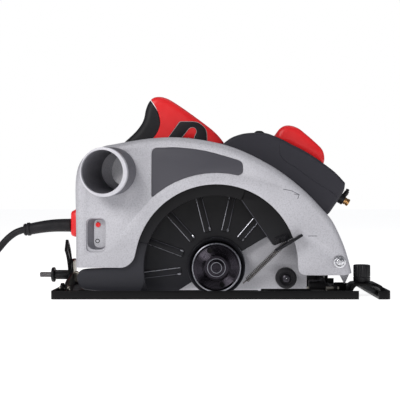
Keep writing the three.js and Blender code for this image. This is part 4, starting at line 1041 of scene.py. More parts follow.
def guard_lever():
    """The paddle across the guard's trailing edge, with its bracket and two small screws."""
    foot = prism("guard lever", [rectangle(60, 72.6, 2, 8, 1)], -53.6, -51.1, axis="Y", edge=0.4)
    paddle = prism("paddle", [outline([(-51.2, 56), (-51.2, 71), (-57.6, 71), (-57.6, 83, 2), (-69, 85, 3),
                                       (-69, 66, 6), (-60, 57, 4)])], 0.4, 2.8, axis="X", edge=0.6)
    rolled = sweep("rolled edge", [(1.6, -58.4, 83.6), (1.6, -68.2, 83.6)], 0.9, 12)
    hinge = Matrix.Translation(Vector((1.6, 0, 62)) * MM)
    lean = hinge @ Matrix.Rotation(math.radians(-12.5), 4, "Y") @ hinge.inverted()
    laid = Matrix(((0, 0, 1, 0), (0, 1, 0, 0), (-1, 0, 0, 0), (0, 0, 0, 1)))
    for part in (paddle, rolled):
        part.data.transform(laid @ lean)
    screws = [turned("screw", [(0, 0), (1.8, 0), (1.6, 1.2, 0.6), (0, 1.4)], (u, -53.4, 5), (0, -1, 0), 20)
              for u in (63, 69.4)]
    lever = combine(foot, paddle, rolled, *screws)
    lever.data.transform(Matrix.Translation(Vector(at_y(SPINDLE, 0)) * MM)
                         @ Matrix.Rotation(math.radians(-19.5), 4, "Y"))
    piece(lever, "guard", "guard_lever", "guard_black")


# ---------------------------------------------------------------- spindle set
def spindle_set():
    x, z = SPINDLE
    at = (x, 0, z)
    face = [(12.2 + 0.62 * k, -44.5 - 0.035 * k + (0.3 if k % 2 else 0.0)) for k in range(14)]
    flange = turned("outer flange", [(4.4, -40.4), (23, -40.4, 0.2), (23.2, -41, 0.3), (23, -44.8, 0.4),
                                     *face[::-1], (11.8, -45.6, 0.4), (10.9, -46, 0.4), (8.2, -46, 0.5),
                                     (4.4, -46)], at, (0, 1, 0), 96)
    for angle in (112, 288):
        hole = polar(SPINDLE, 16.8, angle)
        cut(flange, rod_along_y("hole", hole, -47, -42.5, 2.4, 24))
        # A black disc inside each pin hole: painted shade in the hole.
        piece(rod_along_y("pin hole", hole, -43, -42.4, 2.5, 24), "spindle_set", "outer_flange",
              "dark_steel", "black_paint")
    piece(flange, "spindle_set", "outer_flange", "dark_steel", "flange_face")
    rim = turned("flange rim", [(21.6, -44.6), (23.1, -44.4, 0.4), (22.9, -45.3, 0.5), (21.8, -45.75, 0.4)],
                 at, (0, 1, 0), 96)
    piece(rim, "spindle_set", "outer_flange", "dark_steel", "rim_steel")
    bolt = turned("blade bolt", [(0, -40), (4, -40), (4, -46.3), (8.6, -46.3, 0.3), (8.6, -47.2, 0.4),
                                 (5.6, -47.4, 0.3), (5.4, -48.4, 0.5), (4.6, -49, 0.4), (0, -49)],
                  at, (0, 1, 0), 56)
    star = [polar(SPINDLE, 2.9 if i % 2 else 2.0, 30 * i) for i in range(12)]
    cut(bolt, prism("key", [outline([(*point, 0.6) for point in star], 3)], -52, -47.2, edge=0))
    piece(bolt, "spindle_set", "blade_bolt", "dark_steel", "flange_face")
    # Two bright rings on the bolt head: painted highlights, as glints on its edges.
    rings = [turned("bolt ring", [(inner, -46.9), (inner + 0.6, -46.9, 0.2), (inner + 0.6, top, 0.2),
                                  (inner, top, 0.2)], at, (0, 1, 0), 72)
             for inner, top in ((8.0, -47.4), (4.6, -49.2))]
    piece(combine(*rings), "spindle_set", "blade_bolt", "dark_steel", "rim_steel")
    inner = turned("inner flange", [(6.3, -40.1), (22, -40.1, 0.4), (22, -36, 1), (13, -32, 1), (6.3, -32)],
                   at, (0, 1, 0), 64)
    piece(inner, "spindle_set", "inner_flange", "dark_steel")


# ---------------------------------------------------------------- motor
MOTOR_STEPS = 240
MOTOR_GROOVES = 40
GROOVE_DEPTH = 0.8
PLAIN_ABOVE = 0.45
MOTOR_BORE_R = 40


def motor_housing():
    """A ribbed tube: shallow grooves run along it between plain ends, but for a plain top."""
    x, z = MOTOR
    stations = [(12.6, 0, 42.2), (13.4, 0, MOTOR_R), (19, 0, MOTOR_R), (20.5, 1, MOTOR_R), (118, 1, MOTOR_R),
                (119.5, 0, MOTOR_R), (125.2, 0, MOTOR_R), (126, 0, 42.2)]
    rings = []
    for y, depth, radius in stations:
        ring = []
        for angle in turn_angles(MOTOR_STEPS):
            wave = max(0.0, math.cos(angle * MOTOR_GROOVES)) ** 0.5 * GROOVE_DEPTH * depth
            here = radius - (0 if math.sin(angle) > PLAIN_ABOVE else wave)
            ring.append((x + here * math.cos(angle), y, z + here * math.sin(angle)))
        rings.append(ring)
    inside = [[(x + MOTOR_BORE_R * math.cos(a), y, z + MOTOR_BORE_R * math.sin(a))
               for a in turn_angles(MOTOR_STEPS)] for y in (126, 12.6)]
    shell = skin("motor housing", [*rings, *inside], closed=True)
    vents = []
    for i in range(7):
        slot = prism("vent", [rectangle(20, 33, -1.3, 1.3, 1.2)], 34, 48, axis="Z", edge=0)
        # Drawn flat, the slot is laid against the tube's side and then turned about the tube's axis.
        slot.data.transform(AXES["X"].to_4x4())
        slot.data.transform(Matrix.Translation(Vector((x, 0, z)) * MM)
                            @ Matrix.Rotation(math.radians(-(205 + 14 * i)), 4, "Y"))
        vents.append(slot)
    for side in (-1, 1):
        vents.append(rod("hole", (x + side * 30, 99, z), (x + side * 50, 99, z), 7.4))
    cut(shell, combine(*vents))
    seam = turned("seam ring", [(42.2, 0), (43, 0.4, 0.3), (43, 2.6, 0.3), (42.2, 3)],
                  (x, 13, z), (0, 1, 0), 96)
    piece(combine(shell, seam), "saw_body", "motor_housing", "dark_plastic")


def motor_cap():
    x, z = MOTOR
    cup = turned("motor end cap", [(0, 149), (35, 149, 3), (42, 144.2, 4), (MOTOR_R, 138, 2),
                                   (MOTOR_R, 126.3, 0.4), (MOTOR_BORE_R, 126.3), (MOTOR_BORE_R, 138, 2),
                                   (35, 145.6), (14.4, 145.6), (14.4, 112), (11.3, 112), (11.3, 145.6),
                                   (0, 145.6)], (x, 0, z), (0, 1, 0), 96)
    vents = []
    for i in range(-3, 4):
        reach = 14 if i else 15
        for first, last in ((-reach - 9, -15.6), (15.6, reach + 9)) if abs(i) < 2 else ((-14, 14),):
            vents.append(prism("vent", [rectangle(x + first, x + last, z + i * 8 - 1.6, z + i * 8 + 1.6,
                                                  1.5)], 143, 152, edge=0))
    cut(cup, combine(*vents))
    disc = turned("cap disc", [(0, 0), (9, 0), (9, 0.8, 0.4), (0, 1)], (x, 148.4, z), (0, 1, 0), 48)
    piece(combine(cup, disc), "saw_body", "motor_end_cap", "dark_plastic")
    screws = [turned("cap screw", [(0, 0), (3.2, 0), (3.2, 1.4, 0.6), (1.4, 1.5, 0.2), (1.2, 0.4), (0, 0.4)],
                     (x + 35.6 * math.cos(a), 146.4, z + 35.6 * math.sin(a)), (0, 1, 0), 24)
              for a in (math.radians(45 + 90 * i) for i in range(4))]
    piece(combine(*screws), "saw_body", "motor_end_cap", "dark_plastic", "dark_steel")


def brush_caps():
    x, z = MOTOR
    for name, side in (("front", 1), ("rear", -1)):
        cap = turned(f"brush cap {name}", [(0, 33.6), (7, 33.6), (7, 43.4, 1), (5.6, 44.4, 0.4), (0, 44.4)],
                     (x, 99, z), (side, 0, 0), 40)
        cut(cap, box("slot", *sorted((x + side * 42.9, x + side * 47)), 98, 100, z - 5, z + 5))
        piece(cap, "saw_body", f"brush_cap_{name}", "black_plastic")


# ---------------------------------------------------------------- front housing, grip and laser
SEAM = [(-17, 84), (-12, 110), (-5, 135)]
NOSE_TOP = [(3.7, 145.8), (10, 150.2), (17.6, 153.2), (24, 154.6), (31.3, 155.2), (43, 155),
            (53.7, 151.3), (61, 147.9), (68.7, 143.8), (78, 139.2), (87.4, 133.8), (98.4, 126.2),
            (110.6, 116.9), (120.3, 106.6)]
PANEL_LINE = smooth_line([(57.2, 145), (56.6, 137), (58.6, 131.5), (63.5, 126.6), (72.2, 121.3),
                          (88.2, 109.5), (98, 103), (107.4, 97.4), (111.6, 93.2)], 4)


def front_housing():
    shape = outline([*smooth_line(NOSE_TOP, 3), (119.6, 99.2, 5), (112.4, 88.2, 3), (103.2, 74.8, 5),
                     (88, 72, 8), (66, 74, 8), (40, 60, 4), (-17, 62, 3), *SEAM])
    body = prism("front housing", [shape], -16.7, 60, edge=3.4, steps=4)
    cut(body, rod_along_y("motor space", MOTOR, -30, 70, MOTOR_R + 0.4, 96))
    cut(body, box("below", -60, 60, -30, 70, 0, 62))
    cut(body, prism("switch hole", [rectangle(32.2, 44.8, 6.5, 15.5, 1.5)], 140, 170, axis="Z", edge=0))
    cut(body, rod("laser seat", (109, -6, 96.3), (123, -6, 88.2), 5.4, 32))
    for y in (-16.9, 60.2):
        cut(body, sweep("panel line", [(u, y, v) for u, v in PANEL_LINE], 0.55, 8))
    cut(body, turned("shell seam", [(0, 0), (90, 0), (90, 0.45), (0, 0.45)], (40, 24, 100), (0, 1, 0), 24))
    piece(body, "saw_body", "front_housing", "dark_plastic", angle=28)
    screws = [turned("housing screw", [(0, 0), (3.4, 0), (3.4, 0.8, 0.4), (1.5, 0.9), (1.3, 0.2), (0, 0.2)],
                     (u, 59.6, v), (0, 1, 0), 24) for u, v in ((18, 118), (50, 115), (102, 90), (44, 146))]
    piece(combine(*screws), "saw_body", "front_housing", "dark_plastic", "dark_steel")


def front_grip():
    shape = outline([(54.7, 151.2, 1), (56.6, 160.4, 7), (65, 166.4, 9), (77, 164, 10), (93, 150.6, 14),
                     (103.4, 140.6, 10), (104.8, 130.4, 5), (102.4, 123.8, 2), (98.8, 127.2), (87.8, 134.9),
                     (69.2, 144.9)], 8)
    grip = prism("front grip", [shape], 14, 86, edge=5.5, steps=3)
    soften(grip, 1.0, 14)
    cut(grip, turned("seam", [(0, 0), (60, 0), (60, 0.5), (0, 0.5)], (80, 49.8, 145), (0, 1, 0), 16))
    piece(grip, "saw_body", "front_grip", "red_plastic", angle=50)


def laser():
    along = Vector((0.866, 0, -0.5))
    seat = Vector((114, -6, 93.4))
    body = turned("laser module", [(3.9, 3), (3.9, 7), (5, 7, 0.5), (5, -6), (0, -6), (0, 3)],
                  seat, along, 40)
    bracket = sweep("laser bracket", [seat + along * 4, (123.0, -6, 97.4)], 2.3, 16)
    screw = turned("laser screw", [(0, 0), (1.7, 0), (1.7, 6.6, 0.4), (0, 6.9)], (121.6, -6, 94.6),
                   (0.39, 0, 0.92), 20)
    collar = turned("screw collar", [(0, 0), (2.3, 0, 0.3), (2.3, 1.3, 0.3), (0, 1.3)], (122.7, -6, 97.3),
                    (0.39, 0, 0.92), 24)
    piece(combine(body, bracket, screw, collar), "saw_body", "laser_module", "black_plastic")
    barrel = turned("laser barrel", [(0, 2.6), (3.5, 2.6), (3.5, 9, 0.3), (3.1, 9.3, 0.2),
                                     (3.1, 9.9, 0.2), (3.6, 10.2, 0.3), (3.6, 12.4, 0.6),
                                     (1.4, 12.4, 0.3), (1.4, 10.8), (0, 10.8)], seat, along, 40)
    piece(barrel, "saw_body", "laser_barrel", "brass")


def laser_switch():
    shape = outline([(32.6, 147.4), (44.4, 147.4), (44.4, 155.8, 1.5), (41.2, 159, 4), (35.2, 159, 3),
                     (32.6, 156.6, 2)])
    button = prism("laser switch", [shape], 7, 15, edge=0.9, steps=3)
    piece(button, "laser_button", "laser_switch", "black_plastic")


# ---------------------------------------------------------------- rear handle
GRIP_START = Vector((-40, 149))
GRIP_ALONG = Vector((-0.55, -0.835))
GRIP_OUT = Vector((0.835, -0.55))
HANDLE_TOP = [(3.4, 148.6), (-4, 157.4), (-13, 165.2), (-35, 181.4)]
HANDLE_BACK = [(-49.5, 191.0), (-56, 194.2), (-62.5, 195.5), (-69, 194.2), (-73.6, 189), (-76.6, 181.2),
               (-77.8, 174.4), (-80.4, 168), (-86.2, 160.2), (-95.4, 151.4), (-105, 142.4), (-117, 126),
               (-129, 108), (-141, 90)]


def on_grip(along, out):
    return tuple(GRIP_START + GRIP_ALONG * along + GRIP_OUT * out)


def handle_outline():
    back = smooth_line([*HANDLE_TOP, *HANDLE_BACK], 3)
    return outline([*back, (-148, 80.2, 5), (-152.5, 79, 2), (-152.5, 54, 2), (-148, 52.8, 3),
                    (-112, 47), (-60, 47), (-20, 49), *[(x - 0.4, z) for x, z in SEAM]])


def finger_opening(grow=0.0):
    return outline([(-39.6 - grow, 149.4 + grow, 4), (-26 + grow, 150.2 + grow, 6), (-22.4 + grow, 142, 8),
                    (-21 + grow, 128, 10), (-26 + grow, 108, 10), (-40 + grow, 88, 12), (-60, 70 - grow, 12),
                    (-92, 64 - grow, 8), (-99 - grow, 68, 6), on_grip(60, 1 - grow), on_grip(1.5, -grow)], 6)


def grip_region(inset, forward):
    back = offset_line(HANDLE_BACK[4:], inset)
    front = [(-132, 76), (-122, 88), (-108, 110), (-90, 134), (-71.5, 149.6), (-65, 157.8), (-62.2, 164.6),
             (-61.8, 170), (-63.6, 177.6), (-66.8, 184.4), (-70.6, 190.4), (-74, 194)]
    front = smooth_line([(x + forward, z + forward * (z - 130) / 50) for x, z in front], 4)
    return [*back, *front]


def inlay_outline(grow=0.0):
    return outline([(-62 - grow, 141 - grow), (-41.4 - grow, 169.6 + grow, 1.5), (-23, 169.6 + grow, 9),
                    (-14 + grow, 162, 7), (-13.6 + grow, 141 - grow, 1), (-28.4 - grow, 141 - grow),
                    (-27.2 - grow, 153, 3), (-24 - grow, 160, 4), (-26.6, 163.8 - grow, 4),
                    (-31.4, 163.4 - grow, 5), (-38.6 + grow, 154.2, 3), (-50 + grow, 141 - grow)])


def handle():
    """Two red half shells with rubber let into the back, moulded as one form and then divided."""
    core = prism("handle", [handle_outline(), finger_opening(1.5)], HANDLE_Y[0], HANDLE_Y[1], edge=6, steps=3)
    soften(core, 1.1, 16, 0.3)
    cut(core, rod_along_y("motor space", MOTOR, 0, 70, MOTOR_R + 0.5, 64))
    rubber = copy(core, "handle grip")
    cut(rubber, prism("region", [grip_region(-6, 0)], 0, 80, edge=0), operation="INTERSECT")
    middle = Matrix.Translation(Vector((0, SPLIT_Y, 0)) * MM)
    rubber.data.transform(middle @ Matrix.Diagonal((1, 1.02, 1, 1)) @ middle.inverted())
    cut(core, prism("region", [grip_region(-6, 0.5)], 0, 80, edge=0))
    for side in (-1, 1):
        face = HANDLE_Y[0] if side < 0 else HANDLE_Y[1]
        cut(core, prism("inlay space", [inlay_outline(0.3)], face - 1.2, face + 1.2, edge=0))
    for node, side in (("handle_shell_right", -1), ("handle_shell_left", 1)):
        half = copy(core, node.replace("_", " "))
        clip(half, (0, SPLIT_Y + side * 0.2, 0), (0, -side, 0))
        piece(half, "saw_body", node, "red_plastic", angle=38)
    bpy.data.objects.remove(core)
    piece(rubber, "saw_body", "handle_grip", "rubber", angle=38)


def handle_trim():
    for node, face, out in (("handle_inlay_right", HANDLE_Y[0], -1), ("handle_inlay_left", HANDLE_Y[1], 1)):
        low, high = sorted((face - 0.9 * out, face + 0.4 * out))
        trim = prism(node.replace("_", " "), [inlay_outline(-0.25)], low, high, edge=0.35)
        piece(trim, "saw_body", node, "rubber")
        # A pale band round each inlay: painted highlight along its raised edge.
        inlay_highlight = prism(node.replace("_", " ") + " edging", [inlay_outline(0.1), inlay_outline(-0.3)],
                       *sorted((face - 0.6 * out, face + 0.3 * out)), edge=0.1)
        piece(inlay_highlight, "saw_body", node, "rubber", "inlay_highlight_look")
    trigger = prism("trigger", [outline([on_grip(2, -5), (*on_grip(3.5, 7.5), 4), (*on_grip(12, 10.5), 6),
                                         (*on_grip(22, 9), 12), (*on_grip(38.5, 12), 4),
                                         on_grip(38.5, -5)], 6)], 33, 47, edge=2.6, steps=4)
    piece(trigger, "trigger_body", "trigger", "red_plastic")
    u, v = on_grip(-20, -20)
    button = turned("lock off button", [(0, 51), (5.4, 51), (5.4, 59, 1.6), (4, 60.4, 1), (0, 60)],
                    (u, 0, v), (0, 1, 0), 40)
    piece(button, "lock_off", "lock_off_button", "black_plastic")


def cord_boot():
    """A tapering sleeve that arches slightly, with a ring at each end."""
    def at(share):
        return (-153.3 - 48 * share, CORD_Y, 64.6 - 4.6 * share
                + 1.4 * math.sin(math.pi * min(share, 0.9) / 0.9))
    steps = [k / 20 for k in range(21)]
    radii = [6.7 - 1.1 * share ** 1.3 for share in steps]
    boot = sweep("cord boot", [at(share) for share in steps], radii, 40)
    ribs = [turned("rib", [(4.4, 0), (radius, 0.2, 0.4), (radius, wide - 0.2, 0.4), (4.4, wide)],
                   at(share), (-48, 0, -4.6), 40)
            for share, radius, wide in ((0.0, 6.95, 1.6), (0.865, 6.75, 3.2), (0.95, 6.2, 2.0))]
    cut(boot, rod("bore", (-198, CORD_Y, 60.3), (-204, CORD_Y, 59.7), 3.9))
    piece(combine(boot, *ribs), "saw_body", "cord_boot", "rubber", angle=40)


def spindle_lock():
    z = SPINDLE[1]
    button = turned("spindle lock button", [(0, 28.5), (3.2, 28.5), (3.2, 37.5), (5.6, 37.5, 0.6),
                                            (5.6, 41, 1.2), (0, 41)], (0, 2, z), (1, 0, 0), 36)
    piece(button, "spindle_lock", "spindle_lock_button", "black_plastic")


# ---------------------------------------------------------------- depth setting
def curved_slot(centre, radius, half, first, last, count):
    """A slot along an arc about a centre, with round ends."""
    return (arc(centre, radius + half, first, last, count)
            + arc(polar(centre, radius, last), half, last, last + 180, 8)
            + arc(centre, radius - half, last, first, count)
            + arc(polar(centre, radius, first), half, first + 180, first + 360, 8))


def depth_parts():
    centre = DEPTH_PIVOT
    radius = 175.0
    first, last = 142.0, 177.0
    plate = outline([*arc(centre, radius + 8, first - 2, last + 8, 40), (-119, 20.5, 6),
                     (-141.9, 20.5, 2), (-141.9, 11, 3), (-70, 12, 3), (-58, 20, 4), (-58, 33, 2),
                     *arc(centre, radius - 8, last - 1, first - 2, 36)])
    slot = curved_slot(centre, radius, 3.3, first, last, 36)
    quadrant = prism("depth quadrant", [plate, slot], -14, -11.5, edge=0.5)
    ticks = [prism("tick", [capsule(polar(centre, radius + 4.6, a), polar(centre, radius + 7, a), 0.25, 3)],
                   -11.7, -11.35, edge=0) for a in range(143, 177, 2)]
    piece(combine(quadrant, *ticks), "tilt_frame", "depth_quadrant", "zinc")
    x, z = polar(centre, radius, last)
    bolt = turned("depth lock bolt", [(0, -22.4), (5.5, -22.4, 0.6), (5.5, -20.4), (2.9, -20.4),
                                      (2.9, 0.5, 0.4), (0, 0.5)], (x, 0, z), (0, 1, 0), 36)
    piece(bolt, "saw_body", "depth_lock_bolt", "zinc")
    hub = turned("depth lock lever", [(3.2, -11.2), (8, -11.2, 0.6), (8, -1, 1.4), (3.2, -1)],
                 (x, 0, z), (0, 1, 0), 48)
    arm = prism("lever arm", [outline([(x, z - 5), (x, z + 5), (x - 40, z + 12, 4), (x - 41, z + 4, 4)], 6)],
                -6.2, -1, edge=1.6, steps=3)
    piece(combine(hub, arm), "depth_lever", "depth_lock_lever", "black_plastic")


# ---------------------------------------------------------------- base
KNOB_AT = (132, -40)
KNOB_FLUTES = 24
# Each lock bolt's distance from the tilt axis and its angle at rest.
FRONT_BOLT = (69, 11)
REAR_BOLT = (44, 12.2)
TILT = 45
# The pressed sheet's thickness, the top of its rim, and the level just above it where parts stand.
SHEET = 2.5
RIM_TOP = 7.6
ON_SHEET = 2.8


def base_plate():
    tray = prism("base plate", [rectangle(-153.5, 153.5, -70, 70, 4.5)], 0, RIM_TOP, "Z", edge=0)
    bevel(tray, 1.6, 4, 60)
    inner = prism("inside", [rectangle(-151, 151, -67.5, 67.5, 3)], SHEET, 12, "Z", edge=0)
    cut(tray, inner)
    tools = [prism("slot", [rectangle(-138, 98, -56.5, -5, 6)], -1, 9, "Z", edge=0),
             prism("notch", [rectangle(124.6, 142.6, -75, 58)], -1, 9, "Z", edge=0),
             prism("fence way", [rectangle(120, 146, 65, 75)], SHEET, 12, "Z", edge=0),
             prism("motor space", [rectangle(-30, 44, 65, 75)], SHEET, 12, "Z", edge=0)]
    cut(tray, *tools)
    bevel(tray, 0.5, 2, 50)
    ridges = [prism("pressed rib", [capsule((-120, y), (86, y), 3)], 2.2, 3.3, "Z", edge=0.8)
              for y in (14, 46)]
    ridges.append(prism("rail", [rectangle(36.7, 82.6, 2.4, 8.7, 0.8)], -61, -58.9, edge=0.5))
    rivets = [turned("rivet", [(0, 0), (3.4, 0), (2.8, 1.2, 0.8), (0, 1.5)],
                     (x, y, 4.8 if x > 0 else 2.4), (0, 0, 1), 24)
              for x, y in ((112.5, -22), (112.5, 10))]
    piece(combine(tray, *ridges, *rivets), "base", "base_plate", "black_paint")


def fence_bridge():
    outer = (smooth_line([(119, ON_SHEET), (119.6, 5.4), (120.8, 9.2), (123.4, 11.9), (126.5, 12.6)], 4)
             + smooth_line([(143, 12.6), (146.2, 11.9), (148.4, 9.6), (150, 6.4), (150.4, ON_SHEET)], 4))
    inner = (smooth_line([(147.8, ON_SHEET), (146.4, 6.4), (144.6, 9.2), (142.4, 10.4)], 4)
             + smooth_line([(126.8, 10.4), (124.4, 9.2), (122.4, 6.2), (121.4, ON_SHEET)], 4))
    strip = prism("fence bridge", [outer + inner], -62, -20, edge=0.45)
    tools = [rod("hole", (*KNOB_AT, 5), (*KNOB_AT, 20), 3.4),
             prism("end", [[(108, -80), (155, -80), (155, -60), (143.2, -60), (140, -50), (108, -50)]], 0,
                   20, "Z", edge=0)]
    tools += [prism("mark", [capsule((u, -61), (u, -58.6 if k % 2 else -57), 0.2, 3)], 12.2, 14, "Z", edge=0)
              for k, u in enumerate((143.8, 145.0, 146.2))]
    cut(strip, *tools)
    bevel(strip, 0.3, 2, 50)
    piece(strip, "base", "fence_bridge", "black_paint")


def fence_knob():
    x, y = KNOB_AT
    rings = []
    for z, radius, flute in ((13.1, 6.2, 0), (13.3, 7.3, 0), (14.2, 7.8, 0), (17.6, 8, 0), (18.0, 7.6, 0),
                             (18.5, 7.6, 0), (18.9, 7.9, 0.45), (28.6, 7.9, 0.45), (29.2, 7.4, 0.2),
                             (29.4, 6.6, 0)):
        ring = []
        for angle in turn_angles(144):
            r = radius - flute * (0.5 - 0.5 * math.cos(angle * KNOB_FLUTES))
            ring.append((x + r * math.cos(angle), y + r * math.sin(angle), z))
        rings.append(ring)
    head = skin("fence clamp knob", rings)
    stem = turned("stem", [(0, 0), (2.9, 0, 0.4), (2.9, 5), (0, 5)], (x, y, 9.3), (0, 0, 1), 28)
    step = 0.5236
    thread = sweep("thread", [(x + 2.9 * math.cos(a * step), y + 2.9 * math.sin(a * step), 9.6 + a * 0.07)
                              for a in range(52)], 0.22, 6)
    piece(combine(head, stem, thread), "fence_knob", "fence_clamp_knob", "black_plastic")


def bevel_quadrant(name, bolt, width, half, past, foot, x0, x1, extra=()):
    """A curved slot for 45 degrees of tilt, with its foot and the ear of the tilt axis."""
    radius, angle = bolt
    top = angle + TILT
    first, last = angle - 8, top + past
    centre = BEVEL
    plate = outline([*arc(centre, radius + width, first + 1, last - 1.5, 30),
                     *arc(centre, radius - width, last, first + 1, 28)])
    slot = curved_slot(centre, radius, half, angle, top, 30)
    parts = [prism(name, [plate, slot], x0, x1, "X", edge=0.45),
             prism("strip", [rectangle(BEVEL[0] - 5.2, foot[1], ON_SHEET, 7.6)], x0, x1, "X", edge=0.4),
             prism("riser", [outline([(foot[0], ON_SHEET), (foot[1], ON_SHEET), (foot[1], 12, 2),
                                      (foot[1] - 2, 16, 2), (foot[0], 16, 2)])], x0, x1, "X", edge=0.4),
             prism("ear", [circle(centre, 5, 32), circle(centre, TILT_HOLE_R, 24)], x0, x1,
                   "X", edge=0.4)]
    parts += [prism("tick", [capsule(polar(centre, radius + width - 2, a),
                                     polar(centre, radius + width - 0.5, a), 0.25, 3)], x0 - 0.15,
                    x0 + 0.2, "X", edge=0) for a in range(int(angle) + 1, int(angle) + TILT, 5)]
    piece(combine(*parts, *extra), "base", name.replace(" ", "_"), "black_paint")


def tilt_parts():
    bevel_quadrant("front bevel quadrant", FRONT_BOLT, 5.5, 3.4, 4.2, (15, 28.5), 104.3, 107.3, (
        prism("flange", [rectangle(107, 118.4, -33, 27, 1)], ON_SHEET, 4.9, "Z", edge=0.5),
        prism("rib", [rectangle(107, 118.4, ON_SHEET, 12, 1.5)], -33, -29, edge=0.8)))
    bevel_quadrant("rear bevel quadrant", REAR_BOLT, 6, 2.9, 6.4, (-8, 3), -148, -145.2)
    for name, x0, x1 in (("front", 79.6, 109.5), ("rear", -149.6, -139.8)):
        pin = turned(f"{name} bevel pin", [(0, 0), (1.9, 0, 0.5), (2, 1), (2, x1 - x0 - 1),
                                           (1.9, x1 - x0, 0.5), (0, x1 - x0)],
                     (x0, *BEVEL), (1, 0, 0), 28)
        piece(pin, "base", f"{name}_bevel_pin", "zinc")
    bolt_y, bolt_z = polar(BEVEL, *FRONT_BOLT)
    knuckle = prism("front tilt bracket", [outline([(-48, ON_SHEET, 3), (-44, 5.6, 2), (-43, 5.6),
                                                    (-43, 15.6, 1), (-51, 14, 4), (-53, 8, 4)]),
                                           circle(BEVEL, TILT_HOLE_R, 24)], 81.5, 97, "X", edge=0.9)
    cross = prism("crossbar", [outline([(-47, 5), (-44, 5.6, 1), (-15, 5.6), (-15, 18.4), (-47, 15)])],
                  92.8, 97.5, "X", edge=0.6)
    web = prism("web", [outline([(81.5, 5.6, 2), (96, 5.6, 3), (99, 20, 6), (112, 22, 5), (115.5, 33, 6),
                                 (110, 42, 6), (92, 40, 5), (81.5, 20, 4)]),
                        circle(DEPTH_PIVOT, PIVOT_HOLE_R, 28)], -15.8, -13.2, edge=0.6)
    face = prism("bracket face", [rectangle(-15.8, 27, 13, 30, 3), circle((bolt_y, bolt_z), 3.3, 24)],
                 100.5, 103, "X", edge=0.6)
    piece(combine(knuckle, cross, web, face), "tilt_frame", "front_tilt_bracket", "black_paint")
    hub = turned("front lock lever", [(0, 107.6), (6, 107.6, 0.5), (6, 115.5, 1.4), (0, 115.5)],
                 (0, bolt_y, bolt_z), (1, 0, 0), 40)
    arm = prism("arm", [outline([(bolt_y - 4, bolt_z), (bolt_y + 4, bolt_z), (bolt_y + 3.2, bolt_z + 33, 4),
                                 (bolt_y - 3.2, bolt_z + 33, 4)], 6)], 110, 115, "X", edge=1.6, steps=3)
    shank = rod("shank", (98, bolt_y, bolt_z), (108, bolt_y, bolt_z), 2.9)
    piece(combine(hub, arm, shank), "front_lever", "front_lock_lever", "black_plastic")
    rear_tilt_parts()


def rear_tilt_parts():
    rear_y, rear_z = polar(BEVEL, *REAR_BOLT)
    plate = prism("rear tilt bracket", [outline([(-53, 8, 5), (-50, 3.2, 3), (-20, 3.2, 3), (2, 14, 4),
                                                 (2, 33, 4), (-14, 33, 4), (-18, 20, 7), (-45, 14, 6)]),
                                        circle(BEVEL, TILT_HOLE_R, 24),
                                        circle((rear_y, rear_z), 2.9, 24)], -144.7, -142.2, "X", edge=0.6)
    piece(plate, "tilt_frame", "rear_tilt_bracket", "zinc", "black_paint")
    washers = [turned("bracket washer", [(2.9, 0), (5.4, 0, 0.4), (5.4, 0.8, 0.3), (2.9, 0.8)],
                      (-142.2, rear_y, rear_z), (1, 0, 0), 40),
               prism("bracket tab", [rectangle(-16, 0, 19, 31.5, 2)], -142.4, -141.5, "X", edge=0.3)]
    piece(combine(*washers), "tilt_frame", "rear_tilt_bracket", "zinc")
    head = prism("rear lock bolt", [circle((rear_y, rear_z), 3.8, 6)], -141.9, -139.5, "X", edge=0.4)
    shank = turned("shank", [(0, 0), (2.25, 0), (2.25, 34.8), (1.9, 35.5, 0.3), (0, 35.5)],
                   (-141, rear_y, rear_z), (-1, 0, 0), 28)
    step = 0.3142
    thread = sweep("thread", [(-164 - a * 0.022, rear_y + 2.2 * math.cos(a * step),
                               rear_z + 2.2 * math.sin(a * step)) for a in range(540)], 0.28, 6)
    piece(combine(head, shank, thread), "tilt_frame", "rear_lock_bolt", "zinc", "dull_zinc")
    nut = turned("rear lock nut", [(2.8, 0), (4, 0, 0.3), (4, 13.4, 0.3), (7.1, 13.5, 0.4),
                                   (7.3, 15, 0.5), (6.8, 16.4, 0.5), (4.6, 16.4, 0.3), (4.4, 15.6),
                                   (2.8, 15.6)], (-148.4, rear_y, rear_z), (-1, 0, 0), 48)
    grips = [prism("grip", [capsule(polar((rear_y, rear_z), 3.6, a), polar((rear_y, rear_z), 4.1, a), 0.5,
                                    4)], -161.6, -149, "X", edge=0.3) for a in range(0, 360, 45)]
    piece(combine(nut, *grips), "rear_nut", "rear_lock_nut", "black_plastic")


# ---------------------------------------------------------------- inner pieces keep their solids
def inner_pieces():
    """What shows only through gaps keeps the frame's own solids."""
    keep = {"spindle": "dark_steel", "drive_gear": "dark_steel", "spindle_bearing": "bright_steel",
            "armature_shaft": "bright_steel", "cooling_fan": "black_plastic", "rotor_core": "laminated",
            "commutator": "copper", "stator_core": "laminated", "armature_bearing": "bright_steel",
            "carbon_brush_front": "laminated", "carbon_brush_rear": "laminated",
            "trigger_switch": "black_plastic"}
    for name, look in keep.items():
        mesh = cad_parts[name].data
        mesh.materials.clear()
        mesh.materials.append(LOOKS[look].material)


for build in (upper_guard, guard_badge, pivot_bolt, gear_case, gear_cover, guard_bumper, return_spring,
              lower_guard, guard_lever, spindle_set, motor_housing, motor_cap, brush_caps, front_housing,
              front_grip, laser, laser_switch, handle, handle_trim, cord_boot, spindle_lock, depth_parts,
              base_plate, fence_bridge, fence_knob, tilt_parts, inner_pieces):
    build()


# ---------------------------------------------------------------- floor and light
FLOOR_REACH = 30.0
FLOOR_DROP = 0.0002
FLOOR_GLOW = 0.84


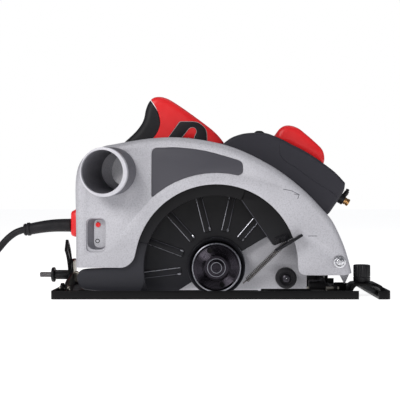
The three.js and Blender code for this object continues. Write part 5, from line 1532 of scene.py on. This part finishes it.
def stage():
    """A white floor just under the sole. It gives off some light, so that it shows as white."""
    mesh = bpy.data.meshes.new("floor")
    corners = [(-FLOOR_REACH, -FLOOR_REACH, 0), (FLOOR_REACH, -FLOOR_REACH, 0),
               (FLOOR_REACH, FLOOR_REACH, 0), (-FLOOR_REACH, FLOOR_REACH, 0)]
    mesh.from_pydata(corners, [], [(0, 1, 2, 3)])
    floor = link("floor", mesh)
    floor.location.z = -FLOOR_DROP
    look = Look("floor", (0.86, 0.86, 0.86, 1), 0.7, 0.0, 0.1)
    look.shader.inputs["Emission Color"].default_value = (1, 1, 1, 1)
    look.shader.inputs["Emission Strength"].default_value = FLOOR_GLOW
    mesh.materials.append(look.material)


def area_light(name, at, size, power, tint=(1, 1, 1)):
    light = bpy.data.lights.new(name, "AREA")
    light.shape = "DISK"
    light.size = size
    light.energy = power
    light.color = tint
    lamp = bpy.data.objects.new(name, light)
    lamp.location = at
    aim = Vector((0, 0, 0.08)) - Vector(at)
    lamp.rotation_euler = aim.to_track_quat("-Z", "Y").to_euler()
    bpy.context.scene.collection.objects.link(lamp)


def surroundings():
    """White behind, and a softer grey all round to light the saw."""
    world = bpy.data.worlds.new("studio")
    bpy.context.scene.world = world
    world.use_nodes = True
    tree = world.node_tree
    output = tree.nodes["World Output"]
    soft = tree.nodes["Background"]
    soft.inputs["Color"].default_value = (0.86, 0.88, 0.94, 1)
    soft.inputs["Strength"].default_value = 0.18
    seen = tree.nodes.new("ShaderNodeBackground")
    seen.inputs["Color"].default_value = (1, 1, 1, 1)
    seen.inputs["Strength"].default_value = 1.0
    path = tree.nodes.new("ShaderNodeLightPath")
    choose = tree.nodes.new("ShaderNodeMixShader")
    tree.links.new(path.outputs["Is Camera Ray"], choose.inputs["Fac"])
    tree.links.new(soft.outputs["Background"], choose.inputs[1])
    tree.links.new(seen.outputs["Background"], choose.inputs[2])
    tree.links.new(choose.outputs["Shader"], output.inputs["Surface"])


stage()
surroundings()
area_light("key", (-0.85, -1.2, 0.85), 0.7, 11, (1, 0.99, 0.98))
area_light("fill", (1.3, -0.9, 0.35), 0.7, 1.5, (0.97, 0.98, 1))
area_light("top", (0.2, 0.4, 1.5), 1.0, 2.5)
bpy.context.scene.view_settings.view_transform = "Standard"
